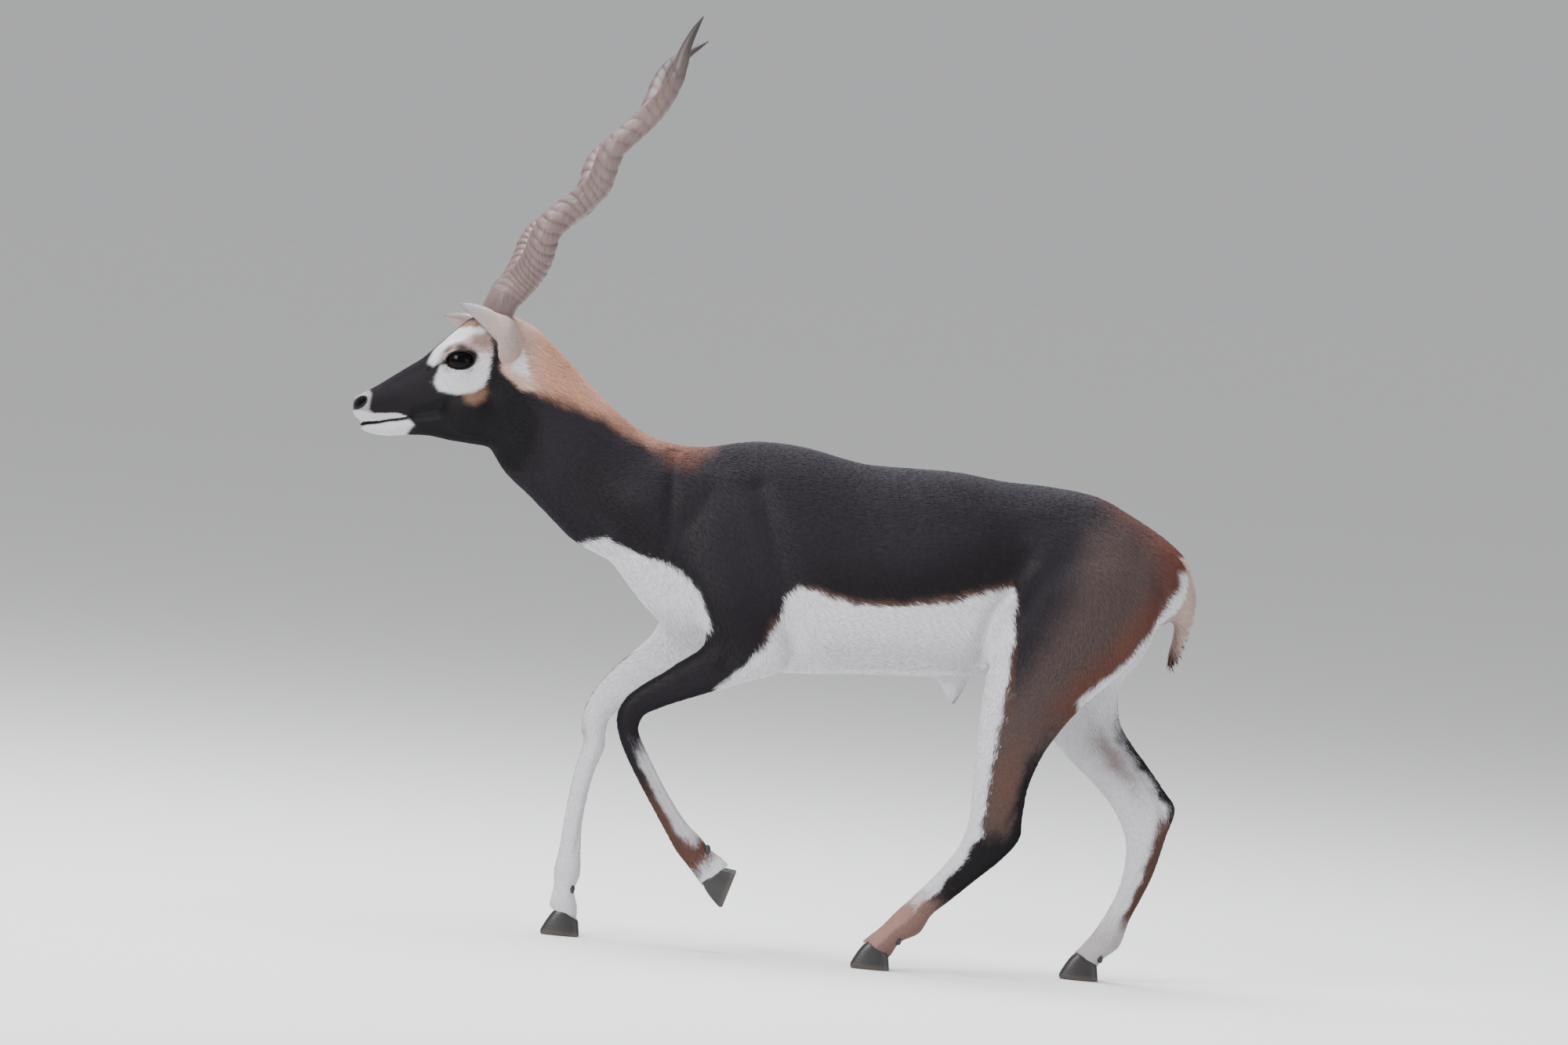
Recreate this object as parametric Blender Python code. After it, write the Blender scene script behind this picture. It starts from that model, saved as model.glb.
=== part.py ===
"""A life-size male blackbuck, trotting: two hind hooves and one fore toe on the floor, one forefoot lifted.

The flesh is a set of lofts, each a row of chords taken across the animal in side view. They are fused by one
voxel remesh, smoothed, and parted into head, jaw, neck, torso and leg nodes by thin cuts. Horns, ears, eyes,
hooves and tail are nodes of their own, each cut back from the body where it grows from it.

The side drawing has x towards the tail and z up, in drawing units. UNIT is the real size of one of them.
The row frame has the head towards -X, the animal's left towards -Y, and the floor at z = 0.
"""

import math

import bmesh
import bpy
import numpy as np

# Driving dimensions, in metres and degrees.
WITHERS_HEIGHT = 0.753
GAP = 0.0003
STANCE_PITCH = 5.0
HEAD_ROLL = 4.0
HEAD_YAW = 3.0
VOXEL = 0.0042
HEAD_VOXEL = 0.0026
BODY_TRIANGLES = 4250
HEAD_TRIANGLES = 2200
CALM_HEIGHTS = (0.34, 0.46)

# The side drawing: its withers stand this many units above its floor line.
DRAWN_WITHERS = 654.5
UNIT = WITHERS_HEIGHT / DRAWN_WITHERS
# The drawing is tipped by the stance about this x, z. MIDDLE and SIDEWAYS come to the row's origin, so that
# the model is centred there with its wide horns.
FLOOR_POINT = (95.0, 10.0)
MIDDLE = -146.5
SIDEWAYS = 41.0
HEAD_PIVOT = (-320.0, 0.0, 745.0)

# Each row of a loft is a chord: x, z of its front or upper end, x, z of its other end, half width, and how
# much wider the section is towards the first end.
TRUNK = [
    (-190, 600, -225, 540, 25, 0.0),
    (-140, 650, -200, 505, 50, 0.0),
    (-100, 668, -160, 455, 66, 0.0),
    (-60, 676, -105, 408, 76, 0.0),
    (-15, 679, -40, 384, 82, -0.02),
    (40, 671, 20, 379, 88, -0.06),
    (110, 651, 100, 378, 93, -0.10),
    (170, 645, 170, 376, 94, -0.12),
    (230, 640, 235, 374, 90, -0.10),
    (290, 628, 295, 380, 84, -0.02),
    (350, 621, 350, 395, 80, 0.0),
    (410, 608, 400, 402, 77, 0.0),
    (455, 583, 440, 408, 69, 0.0),
    (495, 556, 475, 428, 54, 0.0),
    (520, 533, 507, 450, 36, 0.0),
    (532, 512, 525, 476, 14, 0.0),
]
NECK = [
    (-335, 812, -383, 688, 36, 0.0),
    (-297, 814, -365, 667, 42, 0.0),
    (-268, 788, -345, 634, 45, 0.0),
    (-230, 745, -314, 603, 47, 0.0),
    (-190, 707, -284, 572, 51, -0.05),
    (-152, 683, -260, 549, 57, -0.08),
    (-110, 673, -222, 528, 64, -0.05),
    (-60, 672, -150, 495, 69, 0.0),
]
SKULL = [
    (-540, 730, -540, 713, 7, 0.0),
    (-535, 736, -534, 706, 15, 0.0),
    (-523, 742, -521, 703, 20.5, 0.0),
    (-508, 750, -504, 704, 20.5, 0.0),
    (-490, 761, -482, 705, 20, 0.0),
    (-470, 773, -460, 707, 22, 0.0),
    (-450, 785, -438, 709, 27, 0.05),
    (-430, 802, -417, 712, 34, 0.10),
    (-410, 819, -396, 716, 39, 0.12),
    (-387, 836, -378, 720, 41, 0.08),
    (-360, 842, -358, 725, 41, 0.0),
    (-330, 836, -338, 732, 39, 0.0),
    (-300, 820, -318, 745, 33, 0.0),
    (-284, 798, -298, 760, 18, 0.0),
]
MANDIBLE = [
    (-533, 701, -529, 692, 8, 0.0),
    (-522, 706, -516, 687, 14, 0.0),
    (-500, 709, -496, 684, 15.5, 0.0),
    (-478, 711, -472, 685, 16.5, 0.0),
    (-453, 716, -443, 684, 20, 0.0),
    (-428, 726, -416, 678, 25, 0.0),
    (-400, 740, -386, 673, 30, 0.0),
    (-375, 755, -360, 667, 33, 0.0),
    (-350, 765, -340, 650, 33, 0.0),
]
# Limb rows carry the sideways place of the section's middle before its half width.
NEAR_FORELEG = [
    (-85, 640, -30, 640, 40, 16),
    (-115, 590, -15, 580, 50, 26),
    (-133, 540, 0, 520, 56, 31),
    (-124, 490, 12, 470, 60, 33),
    (-100, 450, 18, 425, 63, 32),
    (-90, 430, 15, 388, 64, 29),
    (-100, 416, -38, 371, 64, 25),
    (-122, 403, -88, 357, 63, 20),
    (-146, 387, -122, 347, 61, 16.5),
    (-169, 373, -149, 338, 59, 15),
    (-192, 354, -166, 330, 57, 15.5),
    (-203, 331, -173, 318, 56, 16),
    (-201, 306, -173, 307, 55, 15),
    (-191, 278, -165, 287, 54, 12),
    (-174, 243, -149, 253, 53, 11),
    (-156, 209, -131, 220, 52, 11),
    (-141, 181, -113, 193, 51, 12),
    (-127, 156, -95, 174, 50, 15),
    (-110, 134, -84, 160, 50, 13.5),
    (-98, 117, -66, 146, 50, 16),
    (-84, 98, -50, 128, 50, 15),
]
FAR_FORELEG = [
    (-85, 640, -30, 640, 40, 16),
    (-118, 590, -25, 580, 50, 26),
    (-143, 540, -25, 520, 56, 30),
    (-150, 495, -35, 475, 59, 31),
    (-150, 455, -50, 430, 60, 29),
    (-160, 432, -75, 393, 60, 26),
    (-180, 412, -130, 371, 59, 22),
    (-202, 394, -164, 356, 57, 18.5),
    (-223, 373, -190, 341, 55, 16),
    (-238, 351, -206, 327, 53, 15),
    (-247, 331, -214, 317, 52, 15.5),
    (-250, 311, -218, 302, 51, 16),
    (-248, 289, -220, 283, 50, 14.5),
    (-256, 263, -229, 258, 50, 12),
    (-265, 228, -239, 224, 49, 11),
    (-273, 188, -247, 184, 49, 11),
    (-279, 153, -250, 148, 49, 12),
    (-285, 127, -251, 121, 49, 15),
    (-286, 106, -258, 100, 49, 13.5),
    (-291, 86, -255, 80, 49, 16),
    (-292, 74, -255, 68, 49, 15),
    (-294, 54, -257, 46, 49, 15),
]
NEAR_HINDLEG = [
    (340, 580, 455, 560, 36, 20),
    (312, 520, 486, 495, 52, 33),
    (290, 465, 484, 440, 58, 34),
    (274, 420, 453, 394, 62, 32),
    (264, 380, 416, 360, 63, 29),
    (259, 340, 377, 326, 63, 25),
    (256, 305, 350, 293, 62, 21),
    (252, 270, 333, 260, 61, 17),
    (249, 235, 321, 230, 60, 14),
    (246, 205, 314, 200, 60, 13.5),
    (240, 181, 310, 173, 60, 15),
    (230, 161, 288, 147, 60, 14),
    (214, 141, 248, 115, 60, 12),
    (193, 119, 222, 94, 60, 11),
    (172, 99, 199, 76, 61, 11.5),
    (153, 82, 183, 53, 61, 15),
    (134, 63, 159, 41, 61, 13.5),
    (115, 48, 147, 25, 62, 16),
    (107, 41, 140, 17, 62, 15),
    (97, 27, 130, 1, 62, 14),
]
FAR_HINDLEG = [
    (340, 580, 455, 560, 36, 20),
    (316, 520, 489, 495, 52, 33),
    (308, 465, 490, 440, 58, 34),
    (310, 415, 470, 393, 61, 32),
    (315, 372, 448, 370, 61, 28),
    (324, 334, 440, 341, 60, 25),
    (346, 300, 444, 314, 59, 21),
    (373, 268, 457, 286, 57, 17),
    (402, 239, 476, 259, 56, 14),
    (425, 212, 496, 229, 55, 13.5),
    (440, 185, 511, 203, 55, 15),
    (447, 159, 500, 168, 55, 14),
    (446, 135, 484, 121, 55, 12),
    (438, 103, 469, 90, 55, 11),
    (423, 72, 453, 60, 56, 11.5),
    (406, 46, 440, 27, 57, 15),
    (391, 29, 418, 9, 57, 13.5),
    (376, 14, 410, -4, 58, 16),
    (370, 6, 404, -12, 58, 15),
]
SHEATH = [
    (196, 384, 256, 384, 16, 0.0),
    (206, 366, 246, 366, 12, 0.0),
    (215, 350, 236, 351, 8, 0.0),
    (221, 340, 227, 341, 3, 0.0),
]
TAIL = [
    (494, 524, 526, 514, 0, 15),
    (503, 503, 537, 492, 0, 17),
    (508, 478, 538, 470, 0, 17),
    (507, 450, 531, 445, 0, 15),
    (502, 425, 523, 420, 0, 13),
    (496, 402, 514, 398, 0, 9),
    (493, 387, 503, 384, 0, 4),
]
# Rounded masses, mirrored to both sides: centre x, y, z and radii x, y, z.
MASSES = [
    (-404, 30, 779, 29, 17, 26),
    (-357, 27, 822, 30, 25, 21),
    (-388, 22, 716, 40, 13, 34),
    (-330, 35, 774, 24, 12, 24),
    (-523, 8, 728, 14, 12, 11),
]

# Ears, eyes, nostrils and horns, as places and sizes in the drawing. Their y is that of the right one.
EAR_ROOT = (-326.0, 37.0, 768.0)
EAR_TIPS = {-1: (-403.0, 90.0, 849.0), 1: (-419.0, 94.0, 842.0)}
EAR_OPENS = (-0.75, -0.25, -0.45)
EAR_SIDES = 8
EAR_SECTIONS = 13
EAR_FOOT_HALF_WIDTH = 14.5
EAR_HALF_WIDTH = 27.0
EAR_WIDEST_AT = 0.45
EAR_POINT_AT = 1.03
EAR_POINT_ROUNDNESS = 2.1
EAR_WALL = 2.6
EAR_FOOT_FILL = ((0.0, 0.12, 0.35, 1.0), (0.85, 0.6, 0.0, 0.0))
EAR_SPREAD = (165.0, 70.0)
EAR_OPEN_AT = 0.6
EAR_BEND = 9.0
EYE_AT = (-404.0, 29.0, 779.0)
EYE_RADIUS = 16.5
LID_OPENING_AT = (-404.0, 46.0, 779.0)
LID_OPENING = (17.5, 14.0, 11.5)
NOSTRIL_AT = (-530.0, 15.5, 727.5)
NOSTRIL = (8.5, 7.0, 3.6)
NOSTRIL_TILT = 40.0
# The horns' side-view centrelines as the head carries them, from inside the skull to the tip, and the
# sideways places of root and tip.
HORN_LINES = {
    -1: [
        (-356, 822), (-357, 838), (-349, 857), (-326, 880), (-311, 898), (-302, 914), (-297, 929),
        (-289, 948), (-269, 968), (-241, 989), (-225, 1005), (-218, 1021), (-213, 1036), (-204, 1053),
        (-184, 1071), (-164, 1088), (-147, 1107), (-134, 1125), (-126, 1141), (-120, 1157), (-115, 1175),
        (-104, 1198), (-91, 1219),
    ],
    1: [
        (-360, 824), (-358, 838), (-352, 856), (-337, 873), (-324, 893), (-316, 914), (-310, 930),
        (-297, 945), (-268, 967), (-247, 982), (-237, 1004), (-233, 1021), (-227, 1033), (-214, 1046),
        (-197, 1061), (-179, 1077), (-164, 1095), (-157, 1113), (-152, 1129), (-145, 1143), (-134, 1156),
        (-118, 1168), (-103, 1177), (-88, 1186),
    ],
}
HORN_SIDEWAYS = {-1: (-23.0, -120.0), 1: (31.0, 209.0)}
HORN_FORWARD = (-0.8, 0.0, 0.6)
# Shares of the horn's length, and its radius there between the ridges.
HORN_RADII = (
    (0.0, 0.08, 0.2, 0.3, 0.45, 0.6, 0.75, 0.88, 0.96, 1.0),
    (21.5, 21, 19, 17, 16, 14.5, 12, 8, 4, 0.6),
)
HORN_PITCH = 139.0
HORN_FIRST_BULGE = 95.0
HORN_SWING = 9.0
HORN_SWING_SHARES = ((0.0, 0.16, 0.85, 1.15), (0.0, 1.0, 1.0, 0.0))
HORN_RINGS = 30
HORN_SIDES = 10
ROOT_STATION = 26.0
FIRST_RING_AT = 44.0
RING_RIDGE = 1.9
RING_FADE = 0.4
RING_EDGES = (0.38, 0.68)
RING_SPACING = (8.6, 19.0)
RING_SPREAD = 1.3
SMOOTH_TIP_STATIONS = (0.0, 0.35, 0.65, 0.88, 1.0)
MOUTH_AND_JAW = [
    (-580, 698),
    (-532, 700),
    (-500, 704),
    (-470, 706),
    (-440, 715),
    (-412, 723),
    (-390, 722),
    (-374, 710),
    (-364, 690),
    (-366, 662),
    (-380, 620),
    (-580, 620),
]

# Planes between nodes in side view: a point on each, and the direction that the outer piece lies in.
NECK_TOP = ((-310.0, 720.0), (-160.0, 70.0))
NECK_TOP_OVERLAP = 34.0
NECK_FOOT = ((-166.5, 600.0), (-160.0, 123.0))
LIMB_DEPTH = (22.0, 140.0)
FORELIMB = [
    (-400, -60),
    (-400, 400),
    (-200, 440),
    (-150, 500),
    (-90, 545),
    (-30, 530),
    (15, 480),
    (34, 420),
    (36, 370),
    (72, 320),
    (72, -60),
]
HINDLIMB = [
    (60, -60),
    (60, 270),
    (200, 296),
    (244, 330),
    (250, 400),
    (262, 455),
    (285, 502),
    (328, 536),
    (385, 548),
    (438, 530),
    (475, 486),
    (540, 420),
    (560, -60),
]

# Hooves, in metres and in the foot's own axes: forward to the toe, sideways, and up from the sole.
CORONET = (-0.019, 0.015)
CORONET_HEIGHT = (0.0205, 0.0375)
CLAW_HALF_WIDTH = (0.0082, 0.0102)
CLEFT = 0.0013
SOLE = (-0.022, 0.036)
CLAW_SIDES = 12
CLAW_SECTIONS = (0.0, 0.45, 0.9, 1.0)
CLAW_EDGE_FROM = 0.9
CLAW_EDGE_INSET = 0.0012
TOE_NARROWING = 0.42
TOE_TURN_IN = 0.002
# Dewclaws, in drawing units: half the distance between them, their radii, and their place from the row's end.
DEWCLAW_APART = 8.0
DEWCLAW_RADII = (6.5, 4.8, 8.5)
DEWCLAW_FROM_ROW_END = (-1.0, 2.0)
DEWCLAW_ROW_AFTER_CUT = 2
# Rows that the joints between a limb's nodes lie at.
FORE_CUTS = (5, 9, 16)
HIND_CUTS = (5, 9, 14)
# Each leg's rows, side, cuts, and the drawing x of its coronet; a lifted foot has x, z and turn in degrees.
LEGS = {
    "foreleg_left": (NEAR_FORELEG, -1, FORE_CUTS, (-80.0, 125.0, 68.0)),
    "foreleg_right": (FAR_FORELEG, 1, FORE_CUTS, (-274.0,)),
    "hindleg_left": (NEAR_HINDLEG, -1, HIND_CUTS, (126.0,)),
    "hindleg_right": (FAR_HINDLEG, 1, HIND_CUTS, (396.0,)),
}

BLACK = (0.035, 0.034, 0.040)
WHITE = (0.78, 0.76, 0.73)
TAN = (0.36, 0.24, 0.17)
BROWN = (0.17, 0.10, 0.075)
HORN_COLOUR = (0.27, 0.20, 0.16)
HOOF_COLOUR = (0.03, 0.027, 0.025)
EYE_COLOUR = (0.012, 0.010, 0.010)
EAR_COLOUR = (0.62, 0.52, 0.45)


def spline(rows, per_span):
    """Catmull-Rom points through the rows, with per_span steps from each row to the next."""
    rows = np.asarray(rows, float)
    ends = np.vstack([2 * rows[0] - rows[1], rows, 2 * rows[-1] - rows[-2]])
    t = np.linspace(0, 1, per_span, endpoint=False)[:, None]
    spans = []
    for a, b, c, d in zip(ends, ends[1:], ends[2:], ends[3:]):
        bend, twist = 2 * a - 5 * b + 4 * c - d, 3 * b - a - 3 * c + d
        spans.append(0.5 * (2 * b + (c - a) * t + bend * t**2 + twist * t**3))
    return np.vstack(spans + [rows[-1:]])


def tube(rings):
    """Points and faces of a closed tube over rings, an array of section, side, xyz."""
    count, sides = rings.shape[:2]
    faces = [tuple(range(sides))[::-1], tuple(range((count - 1) * sides, count * sides))]
    for i in range(count - 1):
        for j in range(sides):
            k = (j + 1) % sides
            faces.append((i * sides + j, i * sides + k, (i + 1) * sides + k, (i + 1) * sides + j))
    return rings.reshape(-1, 3), faces


def loft(rows, sides=28, per_span=4):
    """A tube over chords: x, z, x, z, sideways middle, half width, widening towards the first end."""
    rows = spline(rows, per_span)
    turn = np.linspace(0, 2 * math.pi, sides, endpoint=False)
    along, across = np.cos(turn), np.sin(turn)
    first, last = rows[:, 0:2], rows[:, 2:4]
    middle, half = (first + last) / 2, (first - last) / 2
    side = rows[:, 4, None] + rows[:, 5, None] * across * (1 + rows[:, 6, None] * along)
    x = middle[:, 0, None] + half[:, 0, None] * along
    z = middle[:, 1, None] + half[:, 1, None] * along
    return tube(np.stack([x, side, z], axis=2))


def body_rows(rows):
    """Rows of the trunk, neck or head, on the middle plane."""
    return [(a, b, c, d, 0.0, w, egg) for a, b, c, d, w, egg in rows]


def limb_rows(rows, side):
    """Rows of a limb on the left, side -1, or on the right, side 1."""
    return [(a, b, c, d, side * y, w, 0.0) for a, b, c, d, y, w in rows]


def turn_head(points):
    """Rolls and yaws points of the head about the top of the neck, as the head is carried."""
    roll, yaw = math.radians(HEAD_ROLL), math.radians(HEAD_YAW)
    about_x = np.array([[1, 0, 0], [0, math.cos(roll), math.sin(roll)], [0, -math.sin(roll), math.cos(roll)]])
    about_z = np.array([[math.cos(yaw), -math.sin(yaw), 0], [math.sin(yaw), math.cos(yaw), 0], [0, 0, 1]])
    return (np.asarray(points, float) - HEAD_PIVOT) @ about_x.T @ about_z.T + HEAD_PIVOT


def stand(points):
    """Points of the drawing as metres in the row frame, pitched so that the hooves meet the floor."""
    points = np.asarray(points, float)
    pitch = math.radians(STANCE_PITCH)
    x, z = points[..., 0] - FLOOR_POINT[0], points[..., 2] - FLOOR_POINT[1]
    out = np.empty_like(points)
    out[..., 0] = x * math.cos(pitch) - z * math.sin(pitch) - MIDDLE
    out[..., 1] = points[..., 1] - SIDEWAYS
    out[..., 2] = x * math.sin(pitch) + z * math.cos(pitch)
    return out * UNIT


def stand_direction(x, z):
    """A direction of the drawing's side view, in the row frame."""
    pitch = math.radians(STANCE_PITCH)
    return (x * math.cos(pitch) - z * math.sin(pitch), 0.0, x * math.sin(pitch) + z * math.cos(pitch))


def mesh_object(name, points, faces):
    """A mesh object of points in the row frame, its normals pointing out."""
    mesh = bpy.data.meshes.new(name)
    mesh.from_pydata([tuple(p) for p in points], [], faces)
    shape = bmesh.new()
    shape.from_mesh(mesh)
    bmesh.ops.recalc_face_normals(shape, faces=shape.faces)
    shape.to_mesh(mesh)
    shape.free()
    made = bpy.data.objects.new(name, mesh)
    bpy.context.scene.collection.objects.link(made)
    return made


def ball(centre, radii, rings=14, sides=22, tilt=0.0):
    """An ellipsoid in drawing units. tilt turns it in side view, in degrees."""
    polar = np.linspace(0, math.pi, rings + 1)[1:-1, None]
    turn = np.linspace(0, 2 * math.pi, sides, endpoint=False)[None, :]
    level = np.cos(polar) + 0 * turn
    shape = np.stack([np.sin(polar) * np.cos(turn), level, np.sin(polar) * np.sin(turn)], 2)
    shape = shape.reshape(-1, 3) * radii
    faces = []
    for i in range(rings - 2):
        for j in range(sides):
            k = (j + 1) % sides
            faces.append((i * sides + j, i * sides + k, (i + 1) * sides + k, (i + 1) * sides + j))
    top, bottom = len(shape), len(shape) + 1
    shape = np.vstack([shape, [(0, radii[1], 0), (0, -radii[1], 0)]])
    for j in range(sides):
        k = (j + 1) % sides
        faces.append((top, k, j))
        faces.append((bottom, (rings - 2) * sides + j, (rings - 2) * sides + k))
    angle = math.radians(tilt)
    x = shape[:, 0] * math.cos(angle) - shape[:, 2] * math.sin(angle)
    z = shape[:, 0] * math.sin(angle) + shape[:, 2] * math.cos(angle)
    return np.stack([x, shape[:, 1], z], 1) + centre, faces


def applied(target):
    """Applies the modifiers of an object to its mesh."""
    graph = bpy.context.evaluated_depsgraph_get()
    mesh = bpy.data.meshes.new_from_object(target.evaluated_get(graph))
    target.modifiers.clear()
    target.data = mesh
    return target


def boolean(target, cutter, operation, solver="EXACT"):
    """Joins, cuts or keeps the shared part of two closed objects, and removes the second."""
    step = target.modifiers.new("Boolean", "BOOLEAN")
    step.operation = operation
    step.object = cutter
    step.solver = solver
    applied(target)
    bpy.data.objects.remove(cutter)
    return keep_largest(target)


def keep_largest(target):
    """Leaves only the closed surface with the most volume."""
    shape = bmesh.new()
    shape.from_mesh(target.data)
    shape.verts.ensure_lookup_table()
    group = np.full(len(shape.verts), -1)
    for start in range(len(group)):
        if group[start] >= 0:
            continue
        stack = [start]
        group[start] = start
        while stack:
            for edge in shape.verts[stack.pop()].link_edges:
                for vert in edge.verts:
                    if group[vert.index] < 0:
                        group[vert.index] = start
                        stack.append(vert.index)
    volumes = {}
    for face in shape.faces:
        corners = [v.co for v in face.verts]
        key = group[face.verts[0].index]
        for a, b in zip(corners[1:], corners[2:]):
            volumes[key] = volumes.get(key, 0.0) + corners[0].dot(a.cross(b))
    best = max(volumes, key=volumes.get)
    bmesh.ops.delete(shape, geom=[v for v in shape.verts if group[v.index] != best], context="VERTS")
    shape.to_mesh(target.data)
    shape.free()
    return target


def copied(source, name):
    """A copy of an object with its own mesh."""
    made = bpy.data.objects.new(name, source.data.copy())
    bpy.context.scene.collection.objects.link(made)
    return made


def halved(source, name, point, normal, keep_ahead):
    """The piece of an object ahead of a plane or behind it, capped half a gap short of the plane."""
    shape = bmesh.new()
    shape.from_mesh(source.data)
    normal = np.asarray(normal, float) / np.linalg.norm(normal)
    shift = normal * (GAP / 2 if keep_ahead else -GAP / 2)
    bmesh.ops.bisect_plane(
        shape,
        geom=shape.verts[:] + shape.edges[:] + shape.faces[:],
        dist=1e-7,
        plane_co=np.asarray(point) + shift,
        plane_no=normal,
        clear_inner=keep_ahead,
        clear_outer=not keep_ahead,
    )
    bmesh.ops.holes_fill(shape, edges=[e for e in shape.edges if e.is_boundary], sides=0)
    bmesh.ops.triangulate(shape, faces=shape.faces)
    bmesh.ops.recalc_face_normals(shape, faces=shape.faces)
    mesh = bpy.data.meshes.new(name)
    shape.to_mesh(mesh)
    shape.free()
    made = bpy.data.objects.new(name, mesh)
    bpy.context.scene.collection.objects.link(made)
    return keep_largest(made)


def prism(name, outline, low, high, grow=0.0, pose=None):
    """A side-view outline in drawing units, carried from sideways place low to high and grown."""
    outline = np.asarray(outline, float)
    before, after = outline - np.roll(outline, 1, axis=0), np.roll(outline, -1, axis=0) - outline
    x, z = outline.T
    turning = np.sign(np.sum(x * np.roll(z, -1) - np.roll(x, -1) * z))
    normals = []
    for edge in (before, after):
        out = np.stack([edge[:, 1], -edge[:, 0]], 1) * turning
        normals.append(out / np.linalg.norm(out, axis=1, keepdims=True))
    bisector = normals[0] + normals[1]
    outline = outline + bisector * (grow / (1 + np.sum(normals[0] * normals[1], axis=1)))[:, None]
    rings = np.array([[(x, y, z) for x, z in outline] for y in (low - grow, high + grow)])
    points, faces = tube(rings)
    if pose:
        points = pose(points)
    return mesh_object(name, stand(points), faces)


def smoothed(target, rounds, weight):
    """Moves vertices towards the mean of their neighbours, by the share that weight(points) gives."""
    mesh = target.data
    count = len(mesh.vertices)
    points = np.empty(count * 3)
    mesh.vertices.foreach_get("co", points)
    points = points.reshape(-1, 3)
    ends = np.empty(len(mesh.edges) * 2, int)
    mesh.edges.foreach_get("vertices", ends)
    a, b = ends.reshape(-1, 2).T
    degree = np.bincount(a, minlength=count) + np.bincount(b, minlength=count)
    share = weight(points)[:, None]
    for _ in range(rounds):
        for step in (0.5, -0.52 * (1 - share)):
            total = np.empty_like(points)
            for axis in range(3):
                total[:, axis] = np.bincount(a, points[b, axis], count)
                total[:, axis] += np.bincount(b, points[a, axis], count)
            points = points + step * (total / degree[:, None] - points)
    mesh.vertices.foreach_set("co", points.ravel())
    mesh.update()
    return target


def thinned(target, triangles):
    """Triangulates an object and collapses it to about this many triangles."""
    target.modifiers.new("Triangulate", "TRIANGULATE")
    applied(target)
    step = target.modifiers.new("Decimate", "DECIMATE")
    step.ratio = min(1.0, triangles / len(target.data.polygons))
    return applied(target)


def fused(name, parts, voxel):
    """One closed mesh of several closed ones in drawing units, by a voxel remesh."""
    points, faces, start = [], [], 0
    for more, sides in parts:
        points.append(stand(more))
        faces += [tuple(i + start for i in face) for face in sides]
        start += len(more)
    whole = mesh_object(name, np.vstack(points), faces)
    remesh = whole.modifiers.new("Remesh", "REMESH")
    remesh.mode = "VOXEL"
    remesh.voxel_size = voxel
    return applied(whole)


def head_parts():
    """The skull, the mandible and the rounded masses of the face."""
    parts = []
    for rows in (SKULL, MANDIBLE):
        points, faces = loft(body_rows(rows))
        parts.append((turn_head(points), faces))
    for x, y, z, *radii in MASSES:
        for side in (-1, 1):
            points, faces = ball((x, side * y, z), radii)
            parts.append((turn_head(points), faces))
    return parts


def body_flesh():
    """The whole body without horns, ears, eyes, hooves and tail."""
    parts = [loft(body_rows(rows)) for rows in (TRUNK, NECK, SHEATH)]
    for rows, side, _, _ in LEGS.values():
        parts.append(loft(limb_rows(rows, side), sides=24))
    whole = fused("body", parts + head_parts(), VOXEL)

    def above_legs(points):
        """One over the trunk and neck, none on the legs below the elbow and the stifle."""
        return np.clip((points[:, 2] - CALM_HEIGHTS[0]) / (CALM_HEIGHTS[1] - CALM_HEIGHTS[0]), 0, 1)

    return thinned(smoothed(whole, 24, above_legs), BODY_TRIANGLES)


def head_flesh():
    """The head and the top of the neck, at a finer grain."""
    whole = fused("head", [loft(body_rows(NECK))] + head_parts(), HEAD_VOXEL)
    (x, z), outward = NECK_TOP
    point = stand([(x + NECK_TOP_OVERLAP, 0.0, z)])[0]
    top = halved(whole, "head top", point, stand_direction(*outward), True)
    bpy.data.objects.remove(whole)

    def behind_face(points):
        """One on the neck, none on the face."""
        return np.clip((points[:, 0] - stand([(-300.0, 0.0, 745.0)])[0][0]) / 0.03, 0, 1)

    return thinned(smoothed(top, 20, behind_face), HEAD_TRIANGLES)


def grown(source, distance=GAP):
    """A copy of an object with its surface moved outwards."""
    made = copied(source, "grown")
    step = made.modifiers.new("Displace", "DISPLACE")
    step.strength = distance
    step.mid_level = 0.0
    return applied(made)


def fitted(piece, onto):
    """A piece cut back from what it grows from, so that the two meet face to face."""
    return boolean(piece, grown(onto), "DIFFERENCE")


def finish(piece, name, colour, roughness):
    """Names a finished node and gives it its own material."""
    piece.name = name
    piece.data.name = name
    material = bpy.data.materials.new(name)
    material.use_nodes = True
    surface = material.node_tree.nodes["Principled BSDF"]
    surface.inputs["Base Color"].default_value = (*colour, 1.0)
    surface.inputs["Roughness"].default_value = roughness
    surface.inputs["Metallic"].default_value = 0.0
    piece.data.materials.clear()
    piece.data.materials.append(material)
    piece.data.shade_smooth()
    piece.data.set_sharp_from_angle(angle=math.radians(50))
    return piece


def mirrored(place, side):
    """A place or direction of the right side, on the side asked for."""
    return np.array([place[0], side * place[1], place[2]], float)


def unit(vector):
    """The vector at length one."""
    return np.asarray(vector, float) / np.linalg.norm(vector)


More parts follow.
